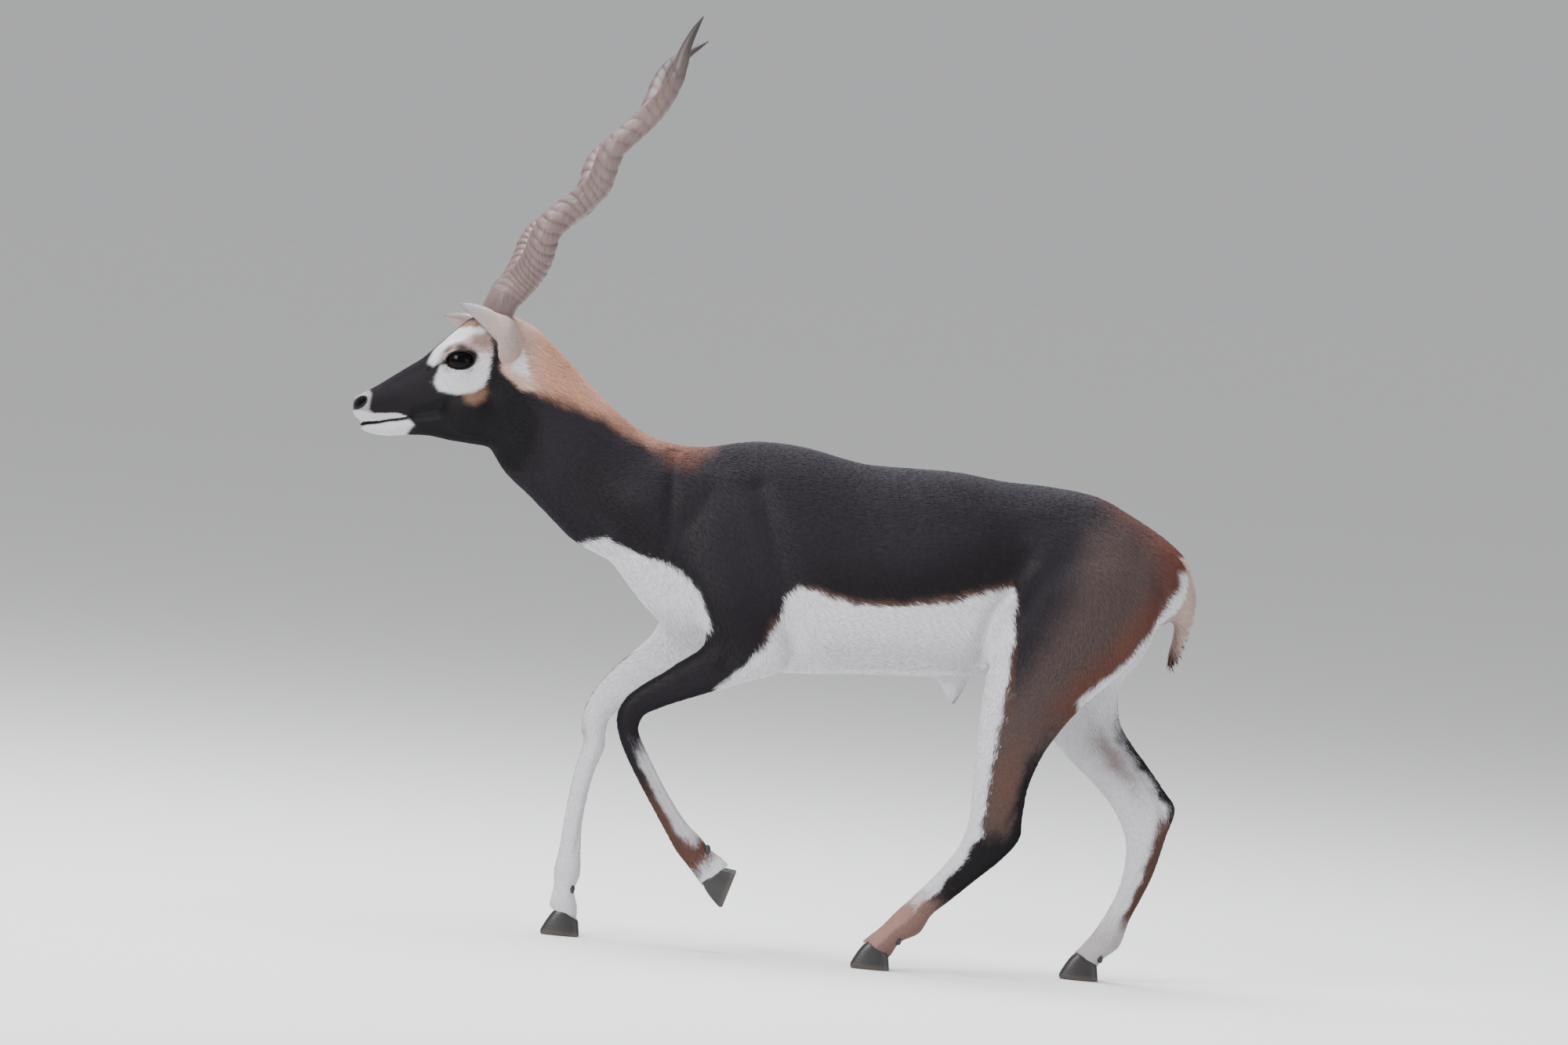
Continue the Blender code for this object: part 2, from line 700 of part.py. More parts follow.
def ear(side):
    """A cupped leaf: each section is an arc with a wall, nearly closed at the root and open at the tip."""
    root, tip = mirrored(EAR_ROOT, side), mirrored(EAR_TIPS[side], side)
    axis = unit(tip - root)
    opens = mirrored(EAR_OPENS, side)
    opens = unit(opens - axis * (opens @ axis))
    across = np.cross(axis, opens)
    length = np.linalg.norm(tip - root)
    rings = []
    for u in np.linspace(0, 1, EAR_SECTIONS):
        growth = EAR_HALF_WIDTH - EAR_FOOT_HALF_WIDTH
        half_width = EAR_FOOT_HALF_WIDTH + growth * math.sin(math.pi * u / (2 * EAR_WIDEST_AT))
        if u >= EAR_WIDEST_AT:
            beyond = (u - EAR_WIDEST_AT) / (EAR_POINT_AT - EAR_WIDEST_AT)
            half_width = EAR_HALF_WIDTH * (1 - beyond ** EAR_POINT_ROUNDNESS)
        closing = min(u / EAR_OPEN_AT, 1)
        spread = math.radians(EAR_SPREAD[0] + (EAR_SPREAD[1] - EAR_SPREAD[0]) * closing)
        radius = half_width / (1.0 if spread > math.pi / 2 else math.sin(spread))
        wall = min(np.interp(u, *EAR_FOOT_FILL) * radius + EAR_WALL, 0.92 * radius)
        turn = np.linspace(-spread, spread, EAR_SIDES)
        bend = -opens * EAR_BEND * math.sin(math.pi * u)
        back = radius * math.cos(spread) if spread < math.pi / 2 else 0.0
        centre = root + axis * length * u + opens * back + bend
        outer = centre + radius * (np.outer(np.sin(turn), across) - np.outer(np.cos(turn), opens))
        inner = centre + (radius - wall) * (np.outer(np.sin(turn), across) - np.outer(np.cos(turn), opens))
        rings.append(np.vstack([outer, inner[::-1]]))
    points, faces = tube(np.array(rings))
    return mesh_object("ear", stand(turn_head(points)), faces)


def ring_stations(length):
    """Places along a horn and how far its ridges stand out there: three to a ring, then the smooth tip."""
    stations = [(0.0, 0.0), (ROOT_STATION, 0.0)]
    place = FIRST_RING_AT
    for ring in range(HORN_RINGS):
        widening = (ring / (HORN_RINGS - 1)) ** RING_SPREAD
        step = RING_SPACING[0] + (RING_SPACING[1] - RING_SPACING[0]) * widening
        ridge = RING_RIDGE * (1 - RING_FADE * ring / HORN_RINGS)
        stations.append((place, 0.0))
        stations += [(place + edge * step, ridge) for edge in RING_EDGES]
        place += step
    for share in SMOOTH_TIP_STATIONS:
        stations.append((place + (length - place) * share, 0.0))
    return np.array(stations).T


def horn(side):
    """A corkscrew swept along its side-view line, its ridges further apart towards the tip."""
    line = spline(HORN_LINES[side], 8)
    travelled = np.concatenate([[0.0], np.cumsum(np.linalg.norm(np.diff(line, axis=0), axis=1))])
    along, ridge = ring_stations(travelled[-1])
    share = along / travelled[-1]
    radius = np.interp(share, *HORN_RADII) + ridge
    swing = HORN_SWING * np.interp(share, *HORN_SWING_SHARES)
    sway = swing * np.sin(2 * math.pi * (along - HORN_FIRST_BULGE) / HORN_PITCH)
    root, tip = HORN_SIDEWAYS[side]
    x, z = np.interp(along, travelled, line[:, 0]), np.interp(along, travelled, line[:, 1])
    centre = np.stack([x, root + (tip - root) * share + side * sway, z], 1)
    tangent = np.gradient(centre, along, axis=0)
    tangent /= np.linalg.norm(tangent, axis=1, keepdims=True)
    forward = np.array(HORN_FORWARD)
    first = forward - tangent * (tangent @ forward)[:, None]
    first /= np.linalg.norm(first, axis=1, keepdims=True)
    second = np.cross(tangent, first)
    turn = np.linspace(0, 2 * math.pi, HORN_SIDES, endpoint=False)[None, :, None]
    outward = np.cos(turn) * first[:, None] + np.sin(turn) * second[:, None]
    rings = centre[:, None] + radius[:, None, None] * outward
    points, faces = tube(rings)
    return mesh_object("horn", stand(points), faces)


def in_foot(points, place, turn):
    """Points in a foot's own axes as row frame points: toe towards -X, tipped down by turn degrees."""
    points = np.asarray(points, float)
    angle = math.radians(turn)
    out = np.empty_like(points)
    out[..., 0] = place[0] - points[..., 0] * math.cos(angle) - points[..., 2] * math.sin(angle)
    out[..., 1] = place[1] + points[..., 1]
    out[..., 2] = place[2] - points[..., 0] * math.sin(angle) + points[..., 2] * math.cos(angle)
    return out


def claw(name, which, place, turn):
    """One claw of a cloven hoof: a wedge from the coronet plane down to a flat sole with a narrow toe."""
    angle = np.linspace(0, 2 * math.pi, CLAW_SIDES, endpoint=False)
    slope = (CORONET_HEIGHT[1] - CORONET_HEIGHT[0]) / (CORONET[1] - CORONET[0])
    rings = []
    for down in CLAW_SECTIONS:
        flare = min(down / CLAW_EDGE_FROM, 1.0)
        rear = CORONET[0] + (SOLE[0] - CORONET[0]) * down
        front = CORONET[1] + (SOLE[1] - CORONET[1]) * flare ** 0.9
        half = CLAW_HALF_WIDTH[0] + (CLAW_HALF_WIDTH[1] - CLAW_HALF_WIDTH[0]) * flare
        inset = CLAW_EDGE_INSET if down == 1.0 else 0.0
        along = (rear + front) / 2 + (front - rear - 2 * inset) / 2 * np.cos(angle)
        toe = np.clip((along - rear) / (front - rear), 0, 1)
        across = CLEFT + half + (half - inset) * np.sin(angle) * (1 - TOE_NARROWING * down * toe ** 2)
        across = across - TOE_TURN_IN * down * toe
        across = which * np.maximum(across, CLEFT)
        top = CORONET_HEIGHT[0] + slope * (along - CORONET[0])
        height = np.where(down >= 1.0, 0.0, top * (1 - down))
        if down == 0.0:
            height = top
        rings.append(np.stack([along, across, height + 0 * along], 1))
    points, faces = tube(np.array(rings))
    return mesh_object(name, in_foot(points, place, turn), faces)


def row_cut(rows, index):
    """The plane of a limb's row: its middle and the direction that the lower limb lies in."""
    a, b, c, d = rows[index][:4]
    e, f, g, h = rows[index + 1][:4]
    down = np.array([(e + g - a - c) / 2, (f + h - b - d) / 2])
    chord = unit((c - a, d - b))
    down = down - chord * (down @ chord)
    return ((a + c) / 2, (b + d) / 2), down


def part_leg(body, name, leg):
    """Takes one limb off the body, parts it at its joints and sets its claws. Returns the body."""
    rows, side, cuts, foot = leg
    outline = FORELIMB if name.startswith("fore") else HINDLIMB
    low, high = sorted((side * LIMB_DEPTH[0], side * LIMB_DEPTH[1]))
    limb = boolean(copied(body, name), prism("keep", outline, low, high), "INTERSECT")
    body = boolean(body, prism("cut", outline, low, high, grow=GAP / UNIT), "DIFFERENCE")

    y = (side * rows[-1][4] - SIDEWAYS) * UNIT
    centre = (sum(CORONET) / 2, sum(CORONET_HEIGHT) / 2)
    if len(foot) == 1:
        turn = 0.0
        place = (stand([(foot[0], 0.0, 0.0)])[0][0] + centre[0], y, 0.0)
    else:
        turn = foot[2] + STANCE_PITCH
        at = stand([(foot[0], 0.0, foot[1])])[0]
        shift = in_foot([(centre[0], 0.0, centre[1])], (0, 0, 0), turn)[0]
        place = (at[0] - shift[0], y, at[2] - shift[2])
    slope = math.atan2(CORONET_HEIGHT[1] - CORONET_HEIGHT[0], CORONET[1] - CORONET[0])
    above = (centre[0] - math.sin(slope), 0.0, centre[1] + math.cos(slope))
    inner = in_foot([(centre[0], 0.0, centre[1]), above], place, turn)
    coronet, upward = inner[0], inner[1] - inner[0]
    names = ("arm", "forearm", "cannon", "pastern") if name.startswith("fore") else (
        "thigh", "shank", "cannon", "pastern")
    colours = (BLACK, BLACK, BROWN, WHITE) if side < 0 else (WHITE, WHITE, BROWN, WHITE)
    whole = limb
    for index, (part, colour) in enumerate(zip(names, colours)):
        if index < len(cuts):
            (x, z), down = row_cut(rows, cuts[index])
            point, outward = stand([(x, 0.0, z)])[0], stand_direction(*down)
            piece = halved(whole, part, point, outward, False)
            rest = halved(whole, "rest", point, outward, True)
        else:
            piece = halved(whole, part, coronet + upward * GAP / 2, upward, True)
            rest = None
        bpy.data.objects.remove(whole)
        whole = rest
        if part == "pastern":
            for which in (-1, 1):
                c, d = rows[cuts[-1] + DEWCLAW_ROW_AFTER_CUT][2:4]
                across, (back, rise) = side * rows[-1][4] + which * DEWCLAW_APART, DEWCLAW_FROM_ROW_END
                points, faces = ball((c + back, across, d + rise), DEWCLAW_RADII, 5, 6)
                piece = boolean(piece, mesh_object("dewclaw", stand(points), faces), "UNION")
        finish(piece, f"{name}_{part}", colour, 0.8)
    for which, place_name in ((side, "outer"), (-side, "inner")):
        finish(claw("claw", which, place, turn), f"{name}_hoof_{place_name}", HOOF_COLOUR, 0.45)
    return body


def part_head(head):
    """Takes the jaw off the head, opens the nostrils and lids, and sets eyes, ears and horns."""
    jaw = boolean(copied(head, "jaw"), prism("keep", MOUTH_AND_JAW, -70, 70, pose=turn_head), "INTERSECT")
    head = boolean(head, prism("cut", MOUTH_AND_JAW, -70, 70, grow=GAP / UNIT, pose=turn_head), "DIFFERENCE")
    for side, name in ((-1, "left"), (1, "right")):
        points, faces = ball(mirrored(NOSTRIL_AT, side), NOSTRIL, 8, 12, NOSTRIL_TILT)
        head = boolean(head, mesh_object("nostril", stand(turn_head(points)), faces), "DIFFERENCE")
        points, faces = ball(mirrored(LID_OPENING_AT, side), LID_OPENING, 10, 18)
        head = boolean(head, mesh_object("opening", stand(turn_head(points)), faces), "DIFFERENCE")
        points, faces = ball(mirrored(EYE_AT, side), [EYE_RADIUS + GAP / UNIT] * 3, 9, 14)
        head = boolean(head, mesh_object("socket", stand(turn_head(points)), faces), "DIFFERENCE")
        points, faces = ball(mirrored(EYE_AT, side), [EYE_RADIUS] * 3, 9, 14)
        finish(mesh_object("eye", stand(turn_head(points)), faces), f"eye_{name}", EYE_COLOUR, 0.08)
    for side, name in ((-1, "left"), (1, "right")):
        horn_piece = fitted(horn(side), head)
        finish(fitted(fitted(ear(side), head), horn_piece), f"ear_{name}", EAR_COLOUR, 0.8)
        finish(horn_piece, f"horn_{name}", HORN_COLOUR, 0.55)
    finish(jaw, "jaw", WHITE, 0.8)
    finish(head, "head", BLACK, 0.8)


def main():
    """Builds every node of the blackbuck."""
    for old in list(bpy.data.objects):
        bpy.data.objects.remove(old)
    body = body_flesh()
    (x, z), outward = NECK_TOP
    point, normal = stand([(x, 0.0, z)])[0], stand_direction(*outward)
    part_head(halved(head_flesh(), "head", point, normal, True))
    trunk = halved(body, "trunk", point, normal, False)
    bpy.data.objects.remove(body)
    (x, z), outward = NECK_FOOT
    point, normal = stand([(x, 0.0, z)])[0], stand_direction(*outward)
    finish(halved(trunk, "neck", point, normal, True), "neck", BLACK, 0.8)
    body = halved(trunk, "torso", point, normal, False)
    bpy.data.objects.remove(trunk)
    for name, leg in LEGS.items():
        body = part_leg(body, name, leg)
    points, faces = loft(limb_rows(TAIL, 1), sides=12, per_span=2)
    finish(fitted(mesh_object("tail", stand(points), faces), body), "tail", TAN, 0.8)
    finish(body, "torso", BLACK, 0.8)
    for old in list(bpy.data.objects):
        if not old.data.materials:
            bpy.data.objects.remove(old)


main()
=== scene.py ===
"""Looks of a life-size male blackbuck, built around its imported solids.

The flesh of the solids gives way to one skin. The skin is worked out from the same side drawing: chords
across each part of the body are swept into tubes, fused, smoothed and carved with folds, lids, nostrils and
tendons, and it lies inside the solids by the depth of the coat. The coat is solid tufts rooted on it. Eyes,
horns and hooves stay pieces of their own.

The drawing has x towards the tail and z up, in drawing units. Drawing.to_row turns it into metres in the
row's frame, where the head points to -X and the animal's left side to -Y.
"""

import logging
import math
from dataclasses import dataclass
from enum import Enum

import bmesh
import bpy
import numpy as np
from bpy.types import Material, Mesh, Node, NodeSocket, NodeTree, Object
from mathutils import Matrix, Vector


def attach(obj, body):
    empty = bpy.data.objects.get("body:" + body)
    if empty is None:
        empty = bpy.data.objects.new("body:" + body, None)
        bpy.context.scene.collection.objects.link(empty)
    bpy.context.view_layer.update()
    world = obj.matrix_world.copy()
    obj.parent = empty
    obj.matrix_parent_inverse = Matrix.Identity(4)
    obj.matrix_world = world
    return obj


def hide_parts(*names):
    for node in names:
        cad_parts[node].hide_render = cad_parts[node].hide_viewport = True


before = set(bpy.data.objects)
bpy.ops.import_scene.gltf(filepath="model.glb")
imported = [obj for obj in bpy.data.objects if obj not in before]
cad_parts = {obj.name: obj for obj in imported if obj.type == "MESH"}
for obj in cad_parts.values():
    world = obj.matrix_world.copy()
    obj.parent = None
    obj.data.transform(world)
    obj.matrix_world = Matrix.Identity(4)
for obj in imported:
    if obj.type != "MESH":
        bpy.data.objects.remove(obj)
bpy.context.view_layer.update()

LOG = logging.getLogger("blackbuck")
Array = np.ndarray


class Side(Enum):
    """The animal's own sides, as the sign of y in the row's frame."""

    LEFT = -1
    RIGHT = 1


@dataclass(frozen=True)
class Drawing:
    """The side drawing and how it stands in the row's frame.

    Args:
        withers_height: height of the withers over the floor, in metres.
        drawn_withers: the same height in drawing units.
        pitch: how far the drawing is tipped so that the hooves meet the floor, in degrees.
        floor_point: drawing x, z that is put on the floor.
        middle: drawing x of the row's origin, after the tip.
        sideways: drawing y of the row's origin.
        head_pivot: the point the head is rolled and yawed about.
        head_roll: roll of the head in degrees.
        head_yaw: yaw of the head in degrees.
    """

    withers_height: float = 0.753
    drawn_withers: float = 654.5
    pitch: float = 5.0
    floor_point: tuple[float, float] = (95.0, 10.0)
    middle: float = -146.5
    sideways: float = 41.0
    head_pivot: tuple[float, float, float] = (-320.0, 0.0, 745.0)
    head_roll: float = 4.0
    head_yaw: float = 3.0

    @property
    def unit(self) -> float:
        """Metres in one drawing unit."""
        return self.withers_height / self.drawn_withers

    def head_turn(self) -> Array:
        """The rotation of the head: roll about x, then yaw about z."""
        roll, yaw = math.radians(self.head_roll), math.radians(self.head_yaw)
        about_x = np.array([
            [1, 0, 0], [0, math.cos(roll), math.sin(roll)], [0, -math.sin(roll), math.cos(roll)],
        ])
        about_z = np.array([[math.cos(yaw), -math.sin(yaw), 0], [math.sin(yaw), math.cos(yaw), 0], [0, 0, 1]])
        return about_z @ about_x

    def carried(self, points: Array) -> Array:
        """Points of the head, rolled and yawed as the head is carried."""
        return (np.asarray(points, float) - self.head_pivot) @ self.head_turn().T + self.head_pivot

    def uncarried(self, points: Array) -> Array:
        """Points of the carried head, back in the plain drawing."""
        return (np.asarray(points, float) - self.head_pivot) @ self.head_turn() + self.head_pivot

    def to_row(self, points: Array) -> Array:
        """Drawing points as metres in the row's frame: a turn about the floor point, then a scale."""
        points = np.asarray(points, float)
        tip = math.radians(self.pitch)
        x, z = points[..., 0] - self.floor_point[0], points[..., 2] - self.floor_point[1]
        out = np.empty_like(points)
        out[..., 0] = x * math.cos(tip) - z * math.sin(tip) - self.middle
        out[..., 1] = points[..., 1] - self.sideways
        out[..., 2] = x * math.sin(tip) + z * math.cos(tip)
        return out * self.unit

    def from_row(self, points: Array) -> Array:
        """The inverse of to_row."""
        points = np.asarray(points, float) / self.unit
        tip = math.radians(self.pitch)
        x, z = points[..., 0] + self.middle, points[..., 2]
        out = np.empty_like(points)
        out[..., 0] = x * math.cos(tip) + z * math.sin(tip) + self.floor_point[0]
        out[..., 1] = points[..., 1] + self.sideways
        out[..., 2] = -x * math.sin(tip) + z * math.cos(tip) + self.floor_point[1]
        return out

    def turned(self, directions: Array) -> Array:
        """Directions of the drawing in the row's frame."""
        return self.to_row(directions) / self.unit - self.to_row(np.zeros(3)) / self.unit

    def turned_back(self, directions: Array) -> Array:
        """Directions of the row's frame in the drawing."""
        return self.from_row(directions * self.unit) - self.from_row(np.zeros(3))


DRAWING = Drawing()


def spline(rows: Array, per_span: int) -> Array:
    """A Catmull-Rom curve through rows.

    Args:
        rows: one control row a line.
        per_span: steps from each row to the next.

    Returns:
        The rows of the curve, the last control row included.
    """
    rows = np.asarray(rows, float)
    ends = np.vstack([2 * rows[0] - rows[1], rows, 2 * rows[-1] - rows[-2]])
    t = np.linspace(0, 1, per_span, endpoint=False)[None, :, None]
    a, b, c, d = (ends[i : len(ends) - 3 + i, None, :] for i in range(4))
    spans = 0.5 * (2 * b + (c - a) * t + (2 * a - 5 * b + 4 * c - d) * t**2 + (3 * b - a - 3 * c + d) * t**3)
    return np.vstack([spans.reshape(-1, rows.shape[1]), rows[-1:]])


def smooth_step(value: Array, low: float, high: float) -> Array:
    """0 below low, 1 above high, and an S curve between."""
    t = np.clip((np.asarray(value, float) - low) / (high - low), 0, 1)
    return t * t * (3 - 2 * t)


def bell(value: Array, middle: float, width: float) -> Array:
    """1 at the middle, fading on both sides over the width."""
    return np.exp(-(((value - middle) / width) ** 2))


def blend(first: Array, second: Array, share: Array) -> Array:
    """Rows of the first turned into rows of the second by a share for each row."""
    share = share[:, None]
    return first * (1 - share) + second * share


def unit_rows(vectors: Array) -> Array:
    """Each row at length one."""
    return vectors / np.maximum(np.linalg.norm(vectors, axis=-1, keepdims=True), 1e-12)


def capped_tube(rings: Array) -> tuple[Array, list]:
    """A closed surface over an array of rings: quads from each ring to the next and a cap at each end.

    Args:
        rings: section, side, xyz.

    Returns:
        Its points and faces.
    """
    count, sides = rings.shape[:2]
    start, side = np.arange(count - 1)[:, None] * sides, np.arange(sides)[None, :]
    here, after = start + side, start + (side + 1) % sides
    faces = np.stack([here, after, after + sides, here + sides], axis=-1).reshape(-1, 4).tolist()
    faces.append(list(range(sides))[::-1])
    faces.append(list(range((count - 1) * sides, count * sides)))
    return rings.reshape(-1, 3), faces


def joined(parts: list[tuple[Array, list]]) -> tuple[Array, list]:
    """Several surfaces' points and faces as those of one."""
    points, faces, start = [], [], 0
    for more, sides in parts:
        points.append(more)
        faces += [[corner + start for corner in side] for side in sides]
        start += len(more)
    return np.vstack(points), faces


def ellipsoid(centre: Array, radii: Array, rings: int = 24, sides: int = 36) -> tuple[Array, list]:
    """A closed ball: latitude from pole to pole along y, longitude about it.

    Args:
        centre: middle of the ball.
        radii: its half sizes along x, y and z.
        rings: steps from pole to pole.
        sides: steps around.

    Returns:
        Its points and faces.
    """
    gap_at_pole = 0.02
    polar = np.linspace(gap_at_pole, math.pi - gap_at_pole, rings)[:, None]
    turn = np.linspace(0, 2 * math.pi, sides, endpoint=False)[None, :]
    ball = np.sin(polar) * np.cos(turn), np.cos(polar) + 0 * turn, np.sin(polar) * np.sin(turn)
    return capped_tube(np.stack(ball, axis=-1) * np.asarray(radii, float) + np.asarray(centre, float))


def mesh_object(name: str, points: Array, faces: list | Array) -> Object:
    """An object at the origin whose mesh holds the points, with its faces pointing out.

    Args:
        name: the object's name.
        points: metres in the row's frame.
        faces: corner numbers of each face.

    Returns:
        The object, linked to the scene.
    """
    mesh = bpy.data.meshes.new(name)
    faces = faces if isinstance(faces, list) else faces.tolist()
    mesh.from_pydata(np.asarray(points, float).tolist(), [], faces)
    shape = bmesh.new()
    shape.from_mesh(mesh)
    bmesh.ops.recalc_face_normals(shape, faces=shape.faces)
    shape.to_mesh(mesh)
    shape.free()
    mesh.shade_smooth()
    made = bpy.data.objects.new(name, mesh)
    bpy.context.scene.collection.objects.link(made)
    return made


def with_modifiers_applied(target: Object) -> Object:
    """The object with its modifiers worked into its mesh."""
    graph = bpy.context.evaluated_depsgraph_get()
    mesh = bpy.data.meshes.new_from_object(target.evaluated_get(graph))
    target.modifiers.clear()
    target.data = mesh
    return target


def points_of(mesh: Mesh) -> Array:
    """The mesh's points as an array."""
    flat = np.empty(len(mesh.vertices) * 3, np.float32)
    mesh.vertices.foreach_get("co", flat)
    return flat.reshape(-1, 3).astype(float)


def normals_of(mesh: Mesh) -> Array:
    """The mesh's point normals as an array."""
    flat = np.empty(len(mesh.vertices) * 3, np.float32)
    mesh.vertex_normals.foreach_get("vector", flat)
    return flat.reshape(-1, 3).astype(float)


def triangles_of(mesh: Mesh) -> Array:
    """The corner numbers of the mesh's triangles as an array."""
    mesh.calc_loop_triangles()
    flat = np.empty(len(mesh.loop_triangles) * 3, np.int32)
    mesh.loop_triangles.foreach_get("vertices", flat)
    return flat.reshape(-1, 3)


def set_points(mesh: Mesh, points: Array) -> None:
    """Moves the mesh's points to the array's places."""
    mesh.vertices.foreach_set("co", np.asarray(points, np.float32).ravel())
    mesh.update()


def add_attribute(mesh: Mesh, name: str, kind: str, values: Array) -> None:
    """Stores values on the mesh's points.

    Args:
        mesh: the mesh.
        name: name of the attribute.
        kind: FLOAT, FLOAT_VECTOR or FLOAT_COLOR.
        values: one line a point.
    """
    made = mesh.attributes.new(name, kind, "POINT")
    key = {"FLOAT": "value", "FLOAT_VECTOR": "vector", "FLOAT_COLOR": "color"}[kind]
    if kind == "FLOAT_COLOR":
        values = np.hstack([values, np.ones((len(values), 1))])
    made.data.foreach_set(key, np.asarray(values, np.float32).ravel())


def ripple(points: Array, size: float, seed: int = 0) -> Array:
    """Smooth irregular waves between about -1 and 1: a sum of sines along fixed scattered directions.

    Args:
        points: where to work it out.
        size: length of a wave, in the points' unit.
        seed: which set of directions.

    Returns:
        One value a point.
    """
    draw = np.random.default_rng(seed)
    total = np.zeros(len(points))
    for _ in range(5):
        way = unit_rows(draw.normal(size=3)) * 2 * math.pi / (size * draw.uniform(0.6, 1.6))
        total += np.sin(points @ way + draw.uniform(0, 6.28))
    return total / 2.6


def off_segment(x: Array, z: Array, start: Array, end: Array) -> Array:
    """Distance of side-view points from a straight piece of line."""
    dx, dz = end - start
    x, z = x - start[0], z - start[1]
    along = np.clip((x * dx + z * dz) / (dx * dx + dz * dz), 0, 1)
    return np.hypot(x - along * dx, z - along * dz)


def inside_outline(x: Array, z: Array, outline: list[tuple[float, float]], soft: float) -> Array:
    """How far inside a closed side-view outline points lie.

    The distance to the nearest edge is signed by counting the edges that a ray crosses, then spread over
    soft.

    Args:
        x: drawing x of the points.
        z: drawing z of the points.
        outline: corners of the outline.
        soft: width of its soft edge.

    Returns:
        0 outside, 1 inside, and a ramp across the edge.
    """
    corners = np.asarray(outline, float)
    best = np.full(len(x), np.inf)
    crossed = np.zeros(len(x), int)
    for start, end in zip(corners, np.roll(corners, -1, axis=0)):
        best = np.minimum(best, off_segment(x, z, start, end))
        rise = end[1] - start[1]
        if rise:
            where = start[0] + (z - start[1]) * (end[0] - start[0]) / rise
            crossed += ((start[1] > z) != (end[1] > z)) & (x < where)
    signed = np.where(crossed % 2 == 1, best, -best)
    return smooth_step(signed, -soft / 2, soft / 2)


def near_line(x: Array, z: Array, line: list[tuple[float, float]], width: float | Array) -> Array:
    """A bell of the distance to a side-view line: 1 on it, fading over width."""
    corners = np.asarray(line, float)
    away = [off_segment(x, z, start, end) for start, end in zip(corners[:-1], corners[1:])]
    return bell(np.min(away, axis=0), 0.0, width)


# Chords of the side drawing, the same as the solids have. Each row of a loft is a chord: x, z of its front or
# upper end, x, z of its other end, half width, and how much wider the section is towards the first end.
TRUNK = [
    (-190, 600, -225, 540, 25, 0.0),
    (-140, 650, -200, 505, 50, 0.0),
    (-100, 668, -160, 455, 66, 0.0),
    (-60, 676, -105, 408, 76, 0.0),
    (-15, 679, -40, 384, 82, -0.02),
    (40, 671, 20, 379, 88, -0.06),
    (110, 651, 100, 378, 93, -0.10),
    (170, 645, 170, 376, 94, -0.12),
    (230, 640, 235, 374, 90, -0.10),
    (290, 628, 295, 380, 84, -0.02),
    (350, 621, 350, 395, 80, 0.0),
    (410, 608, 400, 402, 77, 0.0),
    (455, 583, 440, 408, 69, 0.0),
    (495, 556, 475, 428, 54, 0.0),
    (520, 533, 507, 450, 36, 0.0),
    (532, 512, 525, 476, 14, 0.0),
]
NECK = [
    (-335, 812, -383, 688, 36, 0.0),
    (-297, 814, -365, 667, 42, 0.0),
    (-268, 788, -345, 634, 45, 0.0),
    (-230, 745, -314, 603, 47, 0.0),
    (-190, 707, -284, 572, 51, -0.05),
    (-152, 683, -260, 549, 57, -0.08),
    (-110, 673, -222, 528, 64, -0.05),
    (-60, 672, -150, 495, 69, 0.0),
]
SKULL = [
    (-540, 730, -540, 713, 7, 0.0),
    (-535, 736, -534, 706, 15, 0.0),
    (-523, 742, -521, 703, 20.5, 0.0),
    (-508, 750, -504, 704, 20.5, 0.0),
    (-490, 761, -482, 705, 20, 0.0),
    (-470, 773, -460, 707, 22, 0.0),
    (-450, 785, -438, 709, 27, 0.05),
    (-430, 802, -417, 712, 34, 0.10),
    (-410, 819, -396, 716, 39, 0.12),
    (-387, 836, -378, 720, 41, 0.08),
    (-360, 842, -358, 725, 41, 0.0),
    (-330, 836, -338, 732, 39, 0.0),
    (-300, 820, -318, 745, 33, 0.0),
    (-284, 798, -298, 760, 18, 0.0),
]
MANDIBLE = [
    (-533, 701, -529, 692, 8, 0.0),
    (-522, 706, -516, 687, 14, 0.0),
    (-500, 709, -496, 684, 15.5, 0.0),
    (-478, 711, -472, 685, 16.5, 0.0),
    (-453, 716, -443, 684, 20, 0.0),
    (-428, 726, -416, 678, 25, 0.0),
    (-400, 740, -386, 673, 30, 0.0),
    (-375, 755, -360, 667, 33, 0.0),
    (-350, 765, -340, 650, 33, 0.0),
]
# Limb rows carry the sideways place of the section's middle before its half width.
NEAR_FORELEG = [
    (-85, 640, -30, 640, 40, 16),
    (-115, 590, -15, 580, 50, 26),
    (-133, 540, 0, 520, 56, 31),
    (-124, 490, 12, 470, 60, 33),
    (-100, 450, 18, 425, 63, 32),
    (-90, 430, 15, 388, 64, 29),
    (-100, 416, -38, 371, 64, 25),
    (-122, 403, -88, 357, 63, 20),
    (-146, 387, -122, 347, 61, 16.5),
    (-169, 373, -149, 338, 59, 15),
    (-192, 354, -166, 330, 57, 15.5),
    (-203, 331, -173, 318, 56, 16),
    (-201, 306, -173, 307, 55, 15),
    (-191, 278, -165, 287, 54, 12),
    (-174, 243, -149, 253, 53, 11),
    (-156, 209, -131, 220, 52, 11),
    (-141, 181, -113, 193, 51, 12),
    (-127, 156, -95, 174, 50, 15),
    (-110, 134, -84, 160, 50, 13.5),
    (-98, 117, -66, 146, 50, 16),
    (-84, 98, -50, 128, 50, 15),
]
